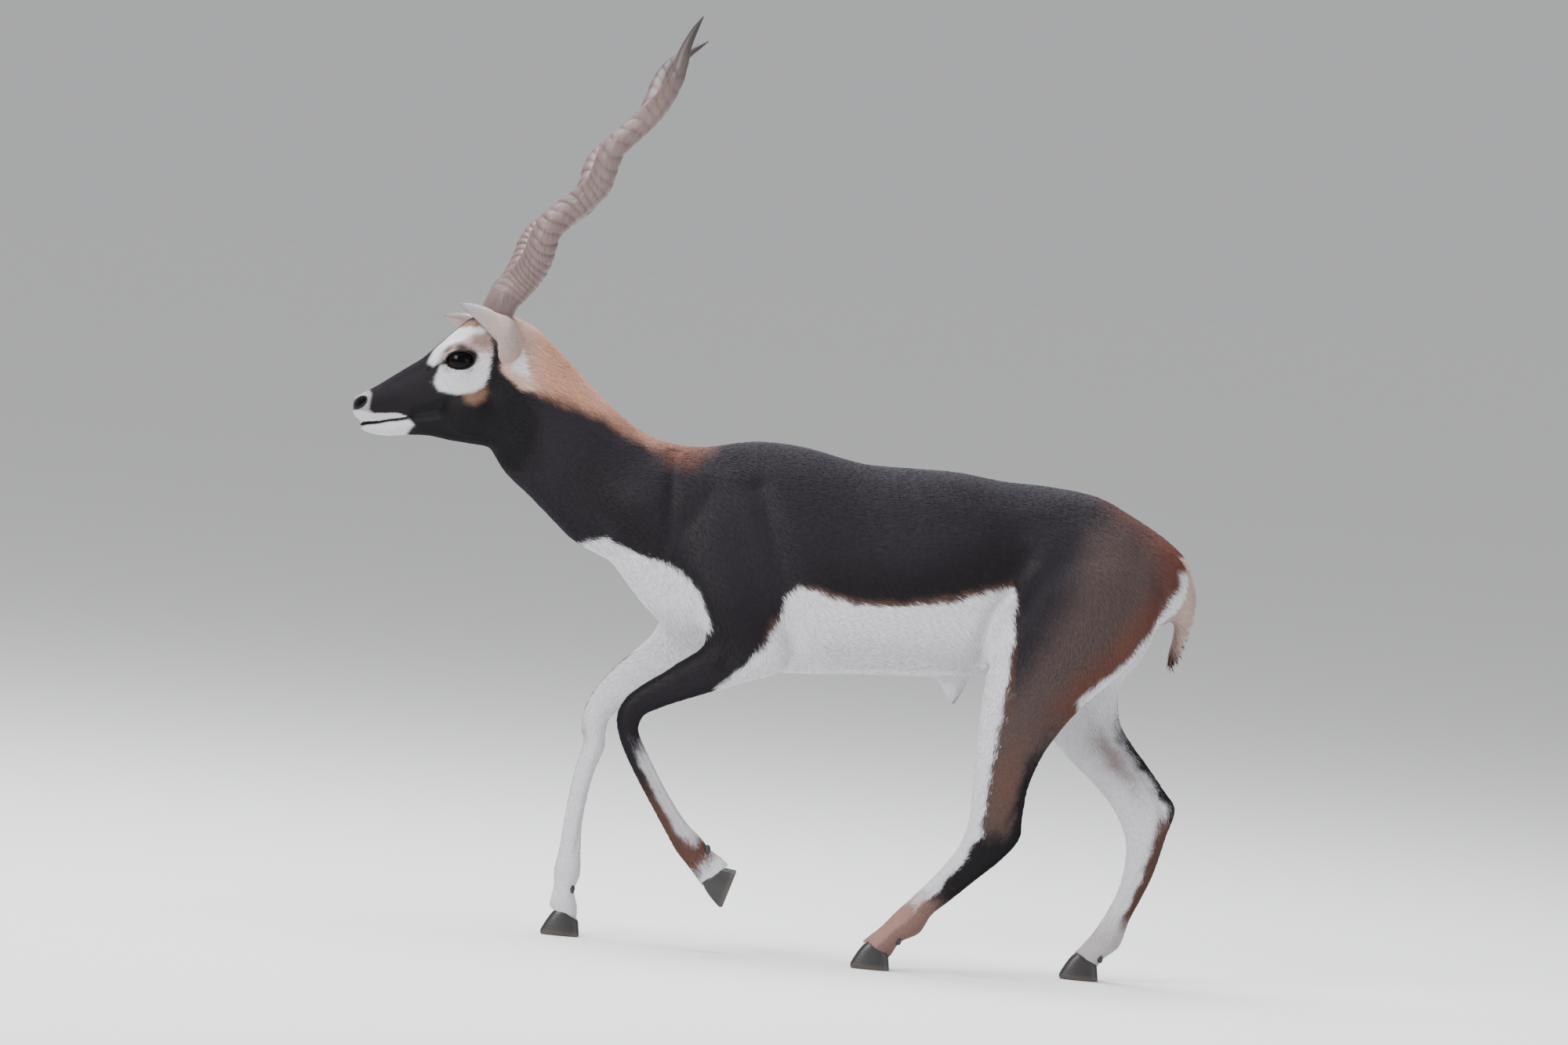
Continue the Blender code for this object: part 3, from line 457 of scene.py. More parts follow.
FAR_FORELEG = [
    (-85, 640, -30, 640, 40, 16),
    (-118, 590, -25, 580, 50, 26),
    (-143, 540, -25, 520, 56, 30),
    (-150, 495, -35, 475, 59, 31),
    (-150, 455, -50, 430, 60, 29),
    (-160, 432, -75, 393, 60, 26),
    (-180, 412, -130, 371, 59, 22),
    (-202, 394, -164, 356, 57, 18.5),
    (-223, 373, -190, 341, 55, 16),
    (-238, 351, -206, 327, 53, 15),
    (-247, 331, -214, 317, 52, 15.5),
    (-250, 311, -218, 302, 51, 16),
    (-248, 289, -220, 283, 50, 14.5),
    (-256, 263, -229, 258, 50, 12),
    (-265, 228, -239, 224, 49, 11),
    (-273, 188, -247, 184, 49, 11),
    (-279, 153, -250, 148, 49, 12),
    (-285, 127, -251, 121, 49, 15),
    (-286, 106, -258, 100, 49, 13.5),
    (-291, 86, -255, 80, 49, 16),
    (-292, 74, -255, 68, 49, 15),
    (-294, 54, -257, 46, 49, 15),
]
NEAR_HINDLEG = [
    (340, 580, 455, 560, 36, 20),
    (312, 520, 486, 495, 52, 33),
    (290, 465, 484, 440, 58, 34),
    (274, 420, 453, 394, 62, 32),
    (264, 380, 416, 360, 63, 29),
    (259, 340, 377, 326, 63, 25),
    (256, 305, 350, 293, 62, 21),
    (252, 270, 333, 260, 61, 17),
    (249, 235, 321, 230, 60, 14),
    (246, 205, 314, 200, 60, 13.5),
    (240, 181, 310, 173, 60, 15),
    (230, 161, 288, 147, 60, 14),
    (214, 141, 248, 115, 60, 12),
    (193, 119, 222, 94, 60, 11),
    (172, 99, 199, 76, 61, 11.5),
    (153, 82, 183, 53, 61, 15),
    (134, 63, 159, 41, 61, 13.5),
    (115, 48, 147, 25, 62, 16),
    (107, 41, 140, 17, 62, 15),
    (97, 27, 130, 1, 62, 14),
]
FAR_HINDLEG = [
    (340, 580, 455, 560, 36, 20),
    (316, 520, 489, 495, 52, 33),
    (308, 465, 490, 440, 58, 34),
    (310, 415, 470, 393, 61, 32),
    (315, 372, 448, 370, 61, 28),
    (324, 334, 440, 341, 60, 25),
    (346, 300, 444, 314, 59, 21),
    (373, 268, 457, 286, 57, 17),
    (402, 239, 476, 259, 56, 14),
    (425, 212, 496, 229, 55, 13.5),
    (440, 185, 511, 203, 55, 15),
    (447, 159, 500, 168, 55, 14),
    (446, 135, 484, 121, 55, 12),
    (438, 103, 469, 90, 55, 11),
    (423, 72, 453, 60, 56, 11.5),
    (406, 46, 440, 27, 57, 15),
    (391, 29, 418, 9, 57, 13.5),
    (376, 14, 410, -4, 58, 16),
    (370, 6, 404, -12, 58, 15),
]
SHEATH = [
    (196, 384, 256, 384, 16, 0.0),
    (206, 366, 246, 366, 12, 0.0),
    (215, 350, 236, 351, 8, 0.0),
    (221, 340, 227, 341, 3, 0.0),
]
TAIL = [
    (494, 524, 526, 514, 0, 15),
    (503, 503, 537, 492, 0, 17),
    (508, 478, 538, 470, 0, 17),
    (507, 450, 531, 445, 0, 15),
    (502, 425, 523, 420, 0, 13),
    (496, 402, 514, 398, 0, 9),
    (493, 387, 503, 384, 0, 4),
]
# Rounded masses, mirrored to both sides: centre x, y, z and radii x, y, z.
MASSES = [
    (-404, 30, 779, 29, 17, 26),
    (-357, 27, 822, 30, 25, 21),
    (-388, 22, 716, 40, 13, 34),
    (-330, 35, 774, 24, 12, 24),
    (-523, 8, 728, 14, 12, 11),
]


@dataclass(frozen=True)
class Loft:
    """A tube over chords taken across one part of the body in side view.

    Args:
        rows: x, z, x, z, sideways middle, half width, widening towards the first end, one chord a line.
        per_span: steps from each chord to the next.
        carried: whether it goes with the head.
    """

    rows: list
    per_span: int = 6
    carried: bool = False

    def curve(self) -> Array:
        """The chords after the spline."""
        return spline(self.rows, self.per_span)

    def rings(self, sides: int) -> Array:
        """Sections: middle plus half chord by cosine, sideways by sine, widened towards the first end."""
        rows = self.curve()
        turn = np.linspace(0, 2 * math.pi, sides, endpoint=False)
        along, across = np.cos(turn), np.sin(turn)
        middle, half = (rows[:, 0:2] + rows[:, 2:4]) / 2, (rows[:, 0:2] - rows[:, 2:4]) / 2
        side = rows[:, 4, None] + rows[:, 5, None] * across * (1 + rows[:, 6, None] * along)
        flat = middle[:, None, :] + half[:, None, :] * along[None, :, None]
        return np.stack([flat[..., 0], side, flat[..., 1]], axis=2)

    def closed(self, sides: int) -> tuple[Array, list]:
        """The tube's points in the drawing and its faces, caps included."""
        points, faces = capped_tube(self.rings(sides))
        return (DRAWING.carried(points) if self.carried else points), faces

    def place_of(self, points: Array) -> tuple[Array, Array, Array]:
        """Where points lie along and around the loft.

        Each point takes the chord whose plane and ellipse it is nearest to.

        Args:
            points: points of the plain drawing.

        Returns:
            Row number along the loft, place along the chord (1 at its first end), and place across it.
        """
        rows = self.curve()
        middle, half = (rows[:, 0:2] + rows[:, 2:4]) / 2, (rows[:, 0:2] - rows[:, 2:4]) / 2
        reach = np.linalg.norm(half, axis=1)
        chord = half / reach[:, None]
        flat = points[:, None, [0, 2]] - middle[None]
        along = np.einsum("nkc,kc->nk", flat, chord)
        off = flat[..., 0] * chord[None, :, 1] - flat[..., 1] * chord[None, :, 0]
        across = (points[:, 1, None] - rows[None, :, 4]) / rows[None, :, 5]
        spare = np.maximum(np.abs(along) / reach - 1, 0) * reach
        best = np.argmin(np.abs(off) + spare, axis=1)
        pick = np.arange(len(points)), best
        return best / self.per_span, along[pick] / reach[best], across[pick]


def trunk_rows(rows: list) -> list:
    """Rows of the trunk, neck or head, on the middle plane."""
    return [(a, b, c, d, 0.0, w, egg) for a, b, c, d, w, egg in rows]


def limb_rows(rows: list, side: int) -> list:
    """Rows of a limb on the side asked for."""
    return [(a, b, c, d, side * y, w, 0.0) for a, b, c, d, y, w in rows]


LOFTS = {
    "trunk": Loft(trunk_rows(TRUNK)),
    "neck": Loft(trunk_rows(NECK)),
    "sheath": Loft(trunk_rows(SHEATH)),
    "skull": Loft(trunk_rows(SKULL), carried=True),
    "mandible": Loft(trunk_rows(MANDIBLE), carried=True),
    "foreleg_left": Loft(limb_rows(NEAR_FORELEG, -1)),
    "foreleg_right": Loft(limb_rows(FAR_FORELEG, 1)),
    "hindleg_left": Loft(limb_rows(NEAR_HINDLEG, -1)),
    "hindleg_right": Loft(limb_rows(FAR_HINDLEG, 1)),
    "tail": Loft(limb_rows(TAIL, 1)),
}
LEG_SIDES = {"foreleg_left": -1, "foreleg_right": 1, "hindleg_left": -1, "hindleg_right": 1}
FOREFEET = {"foreleg_left": (-80.0, 125.0, 68.0), "foreleg_right": (-274.0,)}
HINDFEET = {"hindleg_left": (126.0,), "hindleg_right": (396.0,)}


def plain(points: Array) -> Array:
    """Row points in the plain drawing: the head's turn is taken out ahead of the neck's top."""
    body = DRAWING.from_row(points)
    head = DRAWING.uncarried(body)
    ahead = smooth_step(-body[:, 0], 285.0, 345.0)
    return blend(body, head, ahead)


def zone_of(places: Array) -> Array:
    """The name of the part of the body that each plain drawing point belongs to."""
    x, y, z = places.T
    zone = np.full(len(places), "trunk", dtype="<U16")
    zone[(x < -95 - 0.35 * (z - 560)) & (z > 470)] = "neck"
    zone[(x < -296) & (z > 640) & (x + 0.35 * (z - 720) < -300)] = "head"
    front = (x < 60) & (z < 455 - 0.35 * np.abs(x + 40)) & (np.abs(y) > 22)
    zone[front & (y < 0)] = "foreleg_left"
    zone[front & (y > 0)] = "foreleg_right"
    zone[(x < 60) & (z < 372)] = np.where(y[(x < 60) & (z < 372)] < 0, "foreleg_left", "foreleg_right")
    low = 388 + 95 * smooth_step(x, 255, 330)
    back = (x > 60) & (z < low) & (np.abs(y) > 20)
    zone[back & (y < 0) & (z < 500)] = "hindleg_left"
    zone[back & (y > 0) & (z < 500)] = "hindleg_right"
    sheath = (x > 185) & (x < 262) & (np.abs(y) < 22) & (z < 395)
    zone[sheath] = "trunk"
    tail = (x > 487) & (z < 532) & (np.abs(y) < 19) & (x > 500 + 0.25 * (z - 500)) & (z > 380)
    zone[tail] = "tail"
    return zone


class Lie:
    """The way the coat lies: a blend of how the nearby lofts travel."""

    def __init__(self) -> None:
        """Gathers middle, half chord, width and travel of every station of every loft."""
        middles, chords, reaches, widths, travels, spreads = [], [], [], [], [], []
        for name, loft in LOFTS.items():
            rows = loft.curve()[:: 2 if name in LEG_SIDES else 3]
            middle = np.stack([(rows[:, 0] + rows[:, 2]) / 2, rows[:, 4], (rows[:, 1] + rows[:, 3]) / 2], 1)
            half = (rows[:, 0:2] - rows[:, 2:4]) / 2
            reach = np.linalg.norm(half, axis=1)
            middles.append(middle)
            chords.append(half / reach[:, None])
            reaches.append(reach)
            widths.append(rows[:, 5])
            travels.append(unit_rows(np.gradient(middle, axis=0)))
            spreads.append(np.full(len(rows), 13.0 if name in LEG_SIDES or name == "tail" else 26.0))
        self.middle, self.chord = np.vstack(middles), np.vstack(chords)
        self.reach, self.width = np.hstack(reaches), np.hstack(widths)
        self.travel, self.spread = np.vstack(travels), np.hstack(spreads)

    def at(self, places: Array, normals: Array) -> Array:
        """Unit directions along the surface.

        Each station weighs exp(-(d/r)^2), with d the distance from its plane and its ellipse. On the flanks a
        downward comb is added, and what points out of the surface is taken away.

        Args:
            places: points of the plain drawing.
            normals: the surface's normals there, in the drawing.

        Returns:
            One direction a point, in the drawing.
        """
        out = np.empty_like(places)
        for start in range(0, len(places), 4000):
            part = slice(start, start + 4000)
            flat = places[part, None, :] - self.middle[None]
            along = flat[..., 0] * self.chord[:, 0] + flat[..., 2] * self.chord[:, 1]
            off = flat[..., 0] * self.chord[:, 1] - flat[..., 2] * self.chord[:, 0]
            radial = np.hypot(along / self.reach, flat[..., 1] / self.width)
            away = np.abs(radial - 1) * np.minimum(self.reach, self.width)
            weight = np.exp(-(off**2 + 0.8 * away**2) / self.spread**2 / 2) + 1e-9
            out[part] = weight @ self.travel / weight.sum(1)[:, None]
        x, _, z = places.T
        flank = smooth_step(x, -210, -90) * smooth_step(-x, -540, -400) * smooth_step(z, 390, 470)
        out[:, 2] -= 0.35 * flank * np.abs(normals[:, 1])
        out -= normals * np.sum(out * normals, axis=1)[:, None]
        return unit_rows(out)


@dataclass(frozen=True)
class Swell:
    """A soft bump or hollow of the skin on both sides: height times exp(-(d/radius)^2) along the normal.

    Args:
        centre: x, y, z in the drawing, with y of the right side.
        radii: its reach along x, y and z.
        height: how far the skin stands out, in drawing units.
    """

    centre: tuple[float, float, float]
    radii: tuple[float, float, float]
    height: float

    def lift(self, places: Array) -> Array:
        """How far each point moves along its normal."""
        shape = np.stack([places[:, 0], np.abs(places[:, 1]), places[:, 2]], 1) - self.centre
        return self.height * np.exp(-np.sum((shape / self.radii) ** 2, axis=1))


@dataclass(frozen=True)
class Fold:
    """A crease of the skin along a side-view line: a bell of the distance to the line.

    Args:
        line: x, z of its corners.
        width: reach of the bell.
        depth: how far the skin sinks, in drawing units.
        side: -1 or 1 for one side only, 0 for both.
        off_middle: how far from the middle plane it starts.
    """

    line: list
    width: float
    depth: float
    side: int = 0
    off_middle: float = 0.0

    def lift(self, places: Array) -> Array:
        """How far each point moves along its normal."""
        shape = -self.depth * near_line(places[:, 0], places[:, 2], self.line, self.width)
        if self.side:
            shape = shape * (places[:, 1] * self.side > 0)
        return shape * smooth_step(np.abs(places[:, 1]), self.off_middle - 3, self.off_middle + 3)


@dataclass
class Ear:
    """A cupped leaf of skin: arcs with a wall, nearly closed at the root and open towards the tip.

    Args:
        side: which ear.
        root: middle of its foot, of the right one.
        tip: its point, as of the right one.
        opens: the way its mouth faces, of the right one.
        widest: half width at the widest place.
        widest_at: where that is, as a share of the length.
        point: the share of the length past it in which the edges would meet, and how round they are.
        foot: half width at the root.
        curl: degrees that each half of a section goes round at the root and in the open part.
        bend: how far the middle of the ear is bowed backwards.
        wall: thickness of its edge.
        sections: sections from root to tip.
        sides: points across the outer face of a section.
    """

    side: Side
    root: tuple[float, float, float] = (-333.0, 21.0, 776.0)
    tip: tuple[float, float, float] = (-403.0, 90.0, 849.0)
    opens: tuple[float, float, float] = (-0.75, -0.25, -0.45)
    widest: float = 25.0
    widest_at: float = 0.45
    point: tuple[float, float] = (0.565, 2.1)
    foot: float = 10.5
    curl: tuple[float, float] = (165.0, 70.0)
    bend: float = 9.0
    wall: float = 2.3
    sections: int = 44
    sides: int = 22

    def on_its_side(self, place: tuple[float, float, float]) -> Array:
        """A place or direction of the right ear, mirrored for the left one."""
        return np.array(place) * (1.0, self.side.value, 1.0)

    def surface(self) -> tuple[Array, list, Array, Array]:
        """The ear as a closed tube of crescent sections.

        Returns:
            Drawing points, faces, how far each point is up the ear, and 1 on the inner face.
        """
        root, tip = self.on_its_side(self.root), self.on_its_side(self.tip)
        axis = unit_rows(tip - root)
        opens = self.on_its_side(self.opens)
        opens = unit_rows(opens - axis * (opens @ axis))
        across = np.cross(axis, opens)
        length = np.linalg.norm(tip - root)
        u = np.linspace(0, 1, self.sections)[:, None]
        swelling = np.sin(np.pi * np.minimum(u / (2 * self.widest_at), 1))
        tapering = 1 - (np.maximum(u - self.widest_at, 0) / self.point[0]) ** self.point[1]
        below = self.foot + (self.widest - self.foot) * swelling
        half = np.where(u < self.widest_at, below, self.widest * tapering)
        spread = np.radians(self.curl[0] - (self.curl[0] - self.curl[1]) * np.minimum(u / 0.6, 1))
        radius = half / np.where(spread > math.pi / 2, 1.0, np.sin(spread))
        wall = np.interp(u, (0.0, 0.12, 0.35, 1.0), (0.85, 0.6, 0.0, 0.0)) * radius + self.wall
        wall = np.minimum(wall, 0.92 * radius)
        share = np.linspace(-1, 1, self.sides)[None, :]
        turn = spread * share
        back = np.where(spread < math.pi / 2, radius * np.cos(spread), 0.0)
        bowed = -self.bend * np.sin(np.pi * u)
        thin = 1 - 0.55 * np.abs(share) ** 4
        centre = root + axis * (length * u)[..., None] + opens * (back + bowed)[..., None]
        arc = np.sin(turn)[..., None] * across - np.cos(turn)[..., None] * opens
        outer = centre + radius[..., None] * arc
        inner = centre + (radius - wall * thin)[..., None] * arc
        points, faces = capped_tube(np.concatenate([outer, inner[:, ::-1]], axis=1))
        rise = np.repeat(u[:, 0], 2 * self.sides)
        inside = np.tile(np.repeat([0.0, 1.0], self.sides), self.sections)
        return DRAWING.carried(points), faces, rise, inside

    def axis_in_row(self) -> Array:
        """The way from root to tip in the row's frame."""
        ends = DRAWING.carried([self.on_its_side(self.root), self.on_its_side(self.tip)])
        start, end = DRAWING.to_row(ends)
        return unit_rows(end - start)


EARS = (Ear(Side.LEFT), Ear(Side.RIGHT, tip=(-419.0, 94.0, 842.0)))


@dataclass(frozen=True)
class Patch:
    """One patch of colour, seen from the side.

    Args:
        colour: its linear colour.
        outline: corners of its outline, x and z in the plain drawing.
        soft: width of its edge.
        strength: how much it covers of what lies under it.
        within: how far from the middle plane it reaches.
    """

    colour: Array
    outline: list
    soft: float
    strength: float = 1.0
    within: float = 1e9

    def cover(self, x: Array, y: Array, z: Array) -> Array:
        """How much of each point it covers."""
        mask = inside_outline(x, z, self.outline, self.soft) * self.strength
        return mask * smooth_step(-np.abs(y), -self.within - 4, -self.within + 4)


CHARCOAL = np.array((0.0155, 0.0122, 0.0170))
DEEP_BLACK = np.array((0.0068, 0.0056, 0.0072))
WHITE = np.array((0.665, 0.66, 0.705))
GREY_WHITE = np.array((0.43, 0.41, 0.44))
CREAM = np.array((0.62, 0.50, 0.44))
NAPE_TAN = np.array((0.42, 0.225, 0.155))
NAPE_RUST = np.array((0.165, 0.062, 0.040))
ORANGE_TAN = np.array((0.26, 0.145, 0.10))
BROWN = np.array((0.085, 0.042, 0.031))
PINK_BROWN = np.array((0.25, 0.150, 0.125))
RUMP_RUST = np.array((0.105, 0.041, 0.030))
GREY_BROWN = np.array((0.072, 0.050, 0.047))
EAR_SKIN = np.array((0.47, 0.375, 0.34))
BROW_PINK = np.array((0.55, 0.41, 0.39))
EAR_PINK = np.array((0.58, 0.44, 0.42))
MOIST_BLACK = np.array((0.010, 0.0085, 0.009))

BODY_PATCHES = (
    # Painted shade: the lower flank and shoulder are laid a deeper black than the back, as they get less
    # light from above.
    Patch(DEEP_BLACK, [
        (-240, 640), (-150, 560), (-60, 400), (10, 420), (60, 520), (190, 520), (300, 560), (300, 470),
        (150, 455), (20, 470), (-80, 440), (-200, 560)
    ], 60, 0.8),
    Patch(GREY_BROWN, [
        (395, 565), (440, 590), (500, 545), (515, 500), (490, 465), (455, 420), (415, 375), (360, 330),
        (320, 270), (250, 240), (280, 330), (315, 385), (345, 430), (375, 485)
    ], 50, 0.9),
    Patch(RUMP_RUST, [
        (370, 650), (420, 602), (458, 572), (482, 535), (484, 505), (468, 476), (445, 448), (415, 412),
        (385, 384), (355, 352), (335, 318), (320, 280), (380, 280), (420, 340), (470, 380), (560, 440),
        (570, 560), (480, 660)
    ], 44, 0.95),
    Patch(NAPE_TAN, [
        (-365, 772), (-330, 742), (-296, 740), (-262, 728), (-225, 712), (-190, 692), (-165, 675),
        (-120, 672), (-110, 760), (-240, 900), (-390, 900), (-362, 800)
    ], 24),
    Patch(NAPE_RUST, [
        (-205, 705), (-170, 684), (-140, 655), (-112, 648), (-80, 672), (-80, 760), (-230, 790)
    ], 34, 0.75),
    Patch(WHITE, [
        (-262, 548), (-230, 554), (-215, 556), (-200, 548), (-180, 537), (-160, 530), (-135, 524),
        (-120, 516), (-110, 505), (-100, 490), (-92, 475), (-87, 460), (-85, 440), (-90, 425), (-70, 330),
        (-330, 330), (-330, 520)
    ], 6),
    Patch(BROWN, [
        (-10, 452), (14, 472), (17, 486), (26, 498), (50, 499), (70, 490), (110, 480), (150, 479),
        (190, 482), (230, 487), (262, 496), (300, 505), (306, 480), (300, 300), (-50, 330)
    ], 7, 0.8),
    Patch(WHITE, [
        (-30, 402), (-15, 420), (0, 445), (8, 470), (12, 484), (22, 492), (30, 496), (50, 491), (70, 482),
        (110, 472), (150, 471), (190, 474), (230, 479), (260, 487), (280, 493), (295, 496), (303, 493),
        (303, 453), (299, 415), (294, 380), (288, 330), (280, 290), (-80, 290), (-60, 380)
    ], 5),
    Patch(WHITE, [
        (560, 506), (527, 506), (508, 488), (492, 463), (472, 433), (446, 402), (420, 380), (400, 366),
        (384, 350), (400, 300), (600, 300)
    ], 6),
    Patch(WHITE, [
        (470, 512), (560, 512), (620, 420), (620, 330), (400, 330), (380, 380), (425, 440)
    ], 8, within=32),
)
HEAD_PATCHES = (
    Patch(DEEP_BLACK, [
        (-366, 818), (-353, 818), (-352, 782), (-358, 770), (-352, 762), (-330, 742), (-296, 700),
        (-330, 640), (-470, 690), (-470, 720), (-380, 745), (-365, 780)
    ], 7),
    Patch(ORANGE_TAN, [
        (-428, 815), (-412, 826), (-392, 829), (-374, 829), (-374, 822), (-412, 818)
    ], 5, 0.8),
    Patch(WHITE, [
        (-446, 776), (-437, 795), (-428, 810), (-413, 819), (-395, 821), (-380, 822), (-370, 816),
        (-377, 808), (-391, 805), (-404, 803), (-417, 797), (-426, 788), (-430, 777), (-438, 771)
    ], 5),
    Patch(CHARCOAL, [
        (-460, 760), (-450, 800), (-400, 850), (-350, 860), (-350, 810), (-400, 790), (-430, 765)
    ], 4, within=9),
    Patch(BROW_PINK, [
        (-429, 778), (-425, 789), (-415, 798), (-404, 804), (-388, 812), (-366, 813), (-364, 786),
        (-380, 780), (-384, 790), (-404, 797), (-422, 784)
    ], 6, 0.95),
    # Painted shade: a grey-brown smudge on the upper lid, for the shade under the brow and lashes.
    Patch(GREY_BROWN, [(-412, 791), (-410, 798), (-403, 801), (-396, 798), (-397, 791)], 7, 0.8),
    Patch(PINK_BROWN, [(-392, 800), (-388, 812), (-368, 813), (-366, 800), (-374, 794)], 9, 0.75),
    Patch(ORANGE_TAN, [(-424, 790), (-421, 797), (-415, 796), (-417, 789)], 6, 0.5),
    Patch(WHITE, [
        (-436, 759), (-428, 774), (-417, 772), (-408, 768), (-395, 768), (-384, 775), (-380, 788),
        (-367, 790), (-366, 775), (-369, 759), (-375, 746), (-388, 737), (-408, 735), (-421, 738),
        (-432, 740), (-438, 750)
    ], 5),
    Patch(ORANGE_TAN, [
        (-400, 736), (-388, 738), (-374, 745), (-371, 738), (-374, 729), (-386, 723), (-398, 726)
    ], 13, 0.85),
    Patch(GREY_WHITE, [
        (-548, 735), (-531, 741), (-521, 744), (-517, 738), (-518, 728), (-520, 718), (-515, 714),
        (-548, 712)
    ], 3.5, 0.75),
    Patch(WHITE, [
        (-548, 719), (-531, 716), (-515, 713.5), (-482, 712.4), (-473, 709), (-470, 706), (-482, 705),
        (-498, 703), (-526, 701), (-548, 700)
    ], 2),
    Patch(WHITE, [
        (-548, 699), (-526, 698), (-508, 700), (-482, 703), (-470, 706), (-464, 697), (-470, 689),
        (-482, 680), (-520, 678), (-548, 680)
    ], 4),
    # The dark line between the lips: partly their dark rims, partly painted shade in the gap between them.
    Patch(DEEP_BLACK, [
        (-532, 702), (-528, 702), (-508, 703.5), (-490, 705.5), (-472, 707.5), (-468, 705), (-490, 702.5),
        (-508, 700), (-528, 697), (-532, 698)
    ], 1.8),
    Patch(GREY_WHITE, [(-357, 803), (-337, 806), (-330, 790), (-334, 774), (-350, 780)], 14, 0.75),
    Patch(WHITE, [(-340, 797), (-322, 794), (-309, 781), (-311, 764), (-326, 759), (-340, 766)], 10, 0.95),
)
# The white along the rear edge of the left foreleg's upper part, and the pale fur behind the dark face.
ELBOW_EDGE = [(10, 480), (3, 453), (-17, 420), (-43, 393), (-73, 367), (-60, 340), (60, 340), (60, 480)]
BACK_OF_HEAD = [
    (-353, 768), (-345, 757), (-329, 742), (-296, 742), (-280, 735), (-200, 700), (-200, 900), (-372, 900),
    (-368, 836), (-356, 822), (-353, 810),
]
# Where the pale front of a hind leg ends: rows down the leg, and places along the chord there.
HINDLEG_BORDER = ((2, 3, 4, 5, 6, 8, 10, 11, 12, 13), (0.85, 0.73, 0.62, 0.5, 0.5, 0.42, 0.5, 0.4, 0.3, 0.1))


class Markings:
    """The colours of the coat, worked out at any place of the body."""

    FRAY_BODY = 2.0
    FRAY_FACE = 0.8

    def frayed(self, places: Array, rough: Array) -> Array:
        """Places moved a little by waves, so that borders between colours wander as hair does."""
        moved = places.copy()
        face = smooth_step(-places[:, 0], 300, 340) * smooth_step(places[:, 2], 600, 640)
        size = self.FRAY_BODY * (1 - face) + self.FRAY_FACE * face
        moved[:, 0] += (ripple(places, 26, 1) * 0.7 + rough[:, 0]) * size
        moved[:, 2] += (ripple(places, 22, 2) * 0.7 + rough[:, 1]) * size
        return moved

    def colour(self, places: Array, normals: Array, rough: Array) -> Array:
        """Linear colours of the coat.

        Patches are laid over the black ground one after another. Legs follow bands set in their own
        front-to-back and inner-to-outer places.

        Args:
            places: points of the plain drawing.
            normals: the surface's normals there.
            rough: two random numbers a point, which ruffle the borders.

        Returns:
            Red, green and blue, one line a point.
        """
        x, y, z = self.frayed(places, rough).T
        colour = CHARCOAL * (1 + 0.14 * ripple(places, 90, 3)[:, None])
        for patch in BODY_PATCHES:
            colour = blend(colour, patch.colour, patch.cover(x, y, z))
        nape = NAPE_TAN * 1.1
        pale = smooth_step(-x, 285, 335) * smooth_step(colour[:, 0], 0.1, 0.3)
        colour = blend(colour, 0.55 * nape + 0.45 * CREAM, pale)
        zone = zone_of(places)
        # Painted shade: where the trunk's underside faces down, its white is made darker, as shade under the
        # body.
        under = (zone == "trunk") & (places[:, 2] < 470)
        colour = blend(colour, WHITE * 0.88, under * smooth_step(-normals[:, 2], 0.35, 0.7))
        for name, side in LEG_SIDES.items():
            own = zone == name
            colour[own] = self.leg(name, side, places[own], colour[own], rough[own])
        colour = blend(colour, WHITE, inside_outline(x, z, ELBOW_EDGE, 6) * (y < 0))
        head = zone == "head"
        sub = x[head], y[head], z[head]
        poll = inside_outline(x[head], z[head], BACK_OF_HEAD, 9)
        face = blend(CHARCOAL * 0.8, 0.5 * nape + 0.5 * CREAM, poll)
        for patch in HEAD_PATCHES:
            face = blend(face, patch.colour, patch.cover(*sub))
        colour[head] = blend(colour[head], face, smooth_step(-x[head], 286, 322))
        tail = zone == "tail"
        up = smooth_step(places[tail, 2], 398, 425)
        colour[tail] = blend(BROWN, 0.5 * PINK_BROWN + 0.5 * CREAM, up)
        return np.clip(colour, 0, 1)

    def leg(self, name: str, side: int, places: Array, under: Array, rough: Array) -> Array:
        """Colours of one leg.

        Args:
            name: which leg.
            side: -1 for the left, 1 for the right.
            places: its points in the plain drawing.
            under: their colours as the body's patches give them.
            rough: two random numbers a point.

        Returns:
            Their colours.
        """
        row, fore, across = LOFTS[name].place_of(places)
        row = row + 0.35 * rough[:, 0] + 0.2 * ripple(places, 24, 5)
        fore = fore + 0.10 * rough[:, 1] + 0.07 * ripple(places, 20, 6)
        outer = smooth_step(across * side + 0.12 * rough[:, 0], -0.35, 0.05)
        if name.startswith("fore"):
            whole, start = self.foreleg(row, fore, outer)
            dark = smooth_step(row, 20.2, 20.9)
        else:
            whole, start = self.hindleg(row, fore, outer)
            dark = smooth_step(row, 18.9, 19.6)
        return blend(under, blend(whole, BROWN, 0.7 * dark), start)

    @staticmethod
    def foreleg(row: Array, fore: Array, outer: Array) -> tuple[Array, Array]:
        """Dark outer and white inner face of a foreleg, with its paler rear and its band over the hoof.

        Args:
            row: how far down the leg each point is, in rows of its table.
            fore: place along the chord, 1 at the front.
            outer: 1 on the outer face.

        Returns:
            Colours, and how far they have taken over from the body's.
        """
        face = blend(CHARCOAL * 0.75, BROWN, smooth_step(row, 13.2, 15.5))
        rear = smooth_step(-fore, -0.35, 0.15) * smooth_step(row, 12.0, 13.5)
        face = blend(face, GREY_WHITE * 1.15, rear)
        face = blend(face, BROWN * 1.1, smooth_step(row, 16.4, 17.2))
        face = blend(face, WHITE, smooth_step(row, 18.0, 18.8))
        knee = bell(row, 11.3, 0.9) * smooth_step(fore, 0.3, 0.8) * (1 - outer)
        whole = blend(blend(WHITE, face, outer), PINK_BROWN * 1.5, 0.6 * knee)
        return whole, smooth_step(row, 3.2, 5.0)

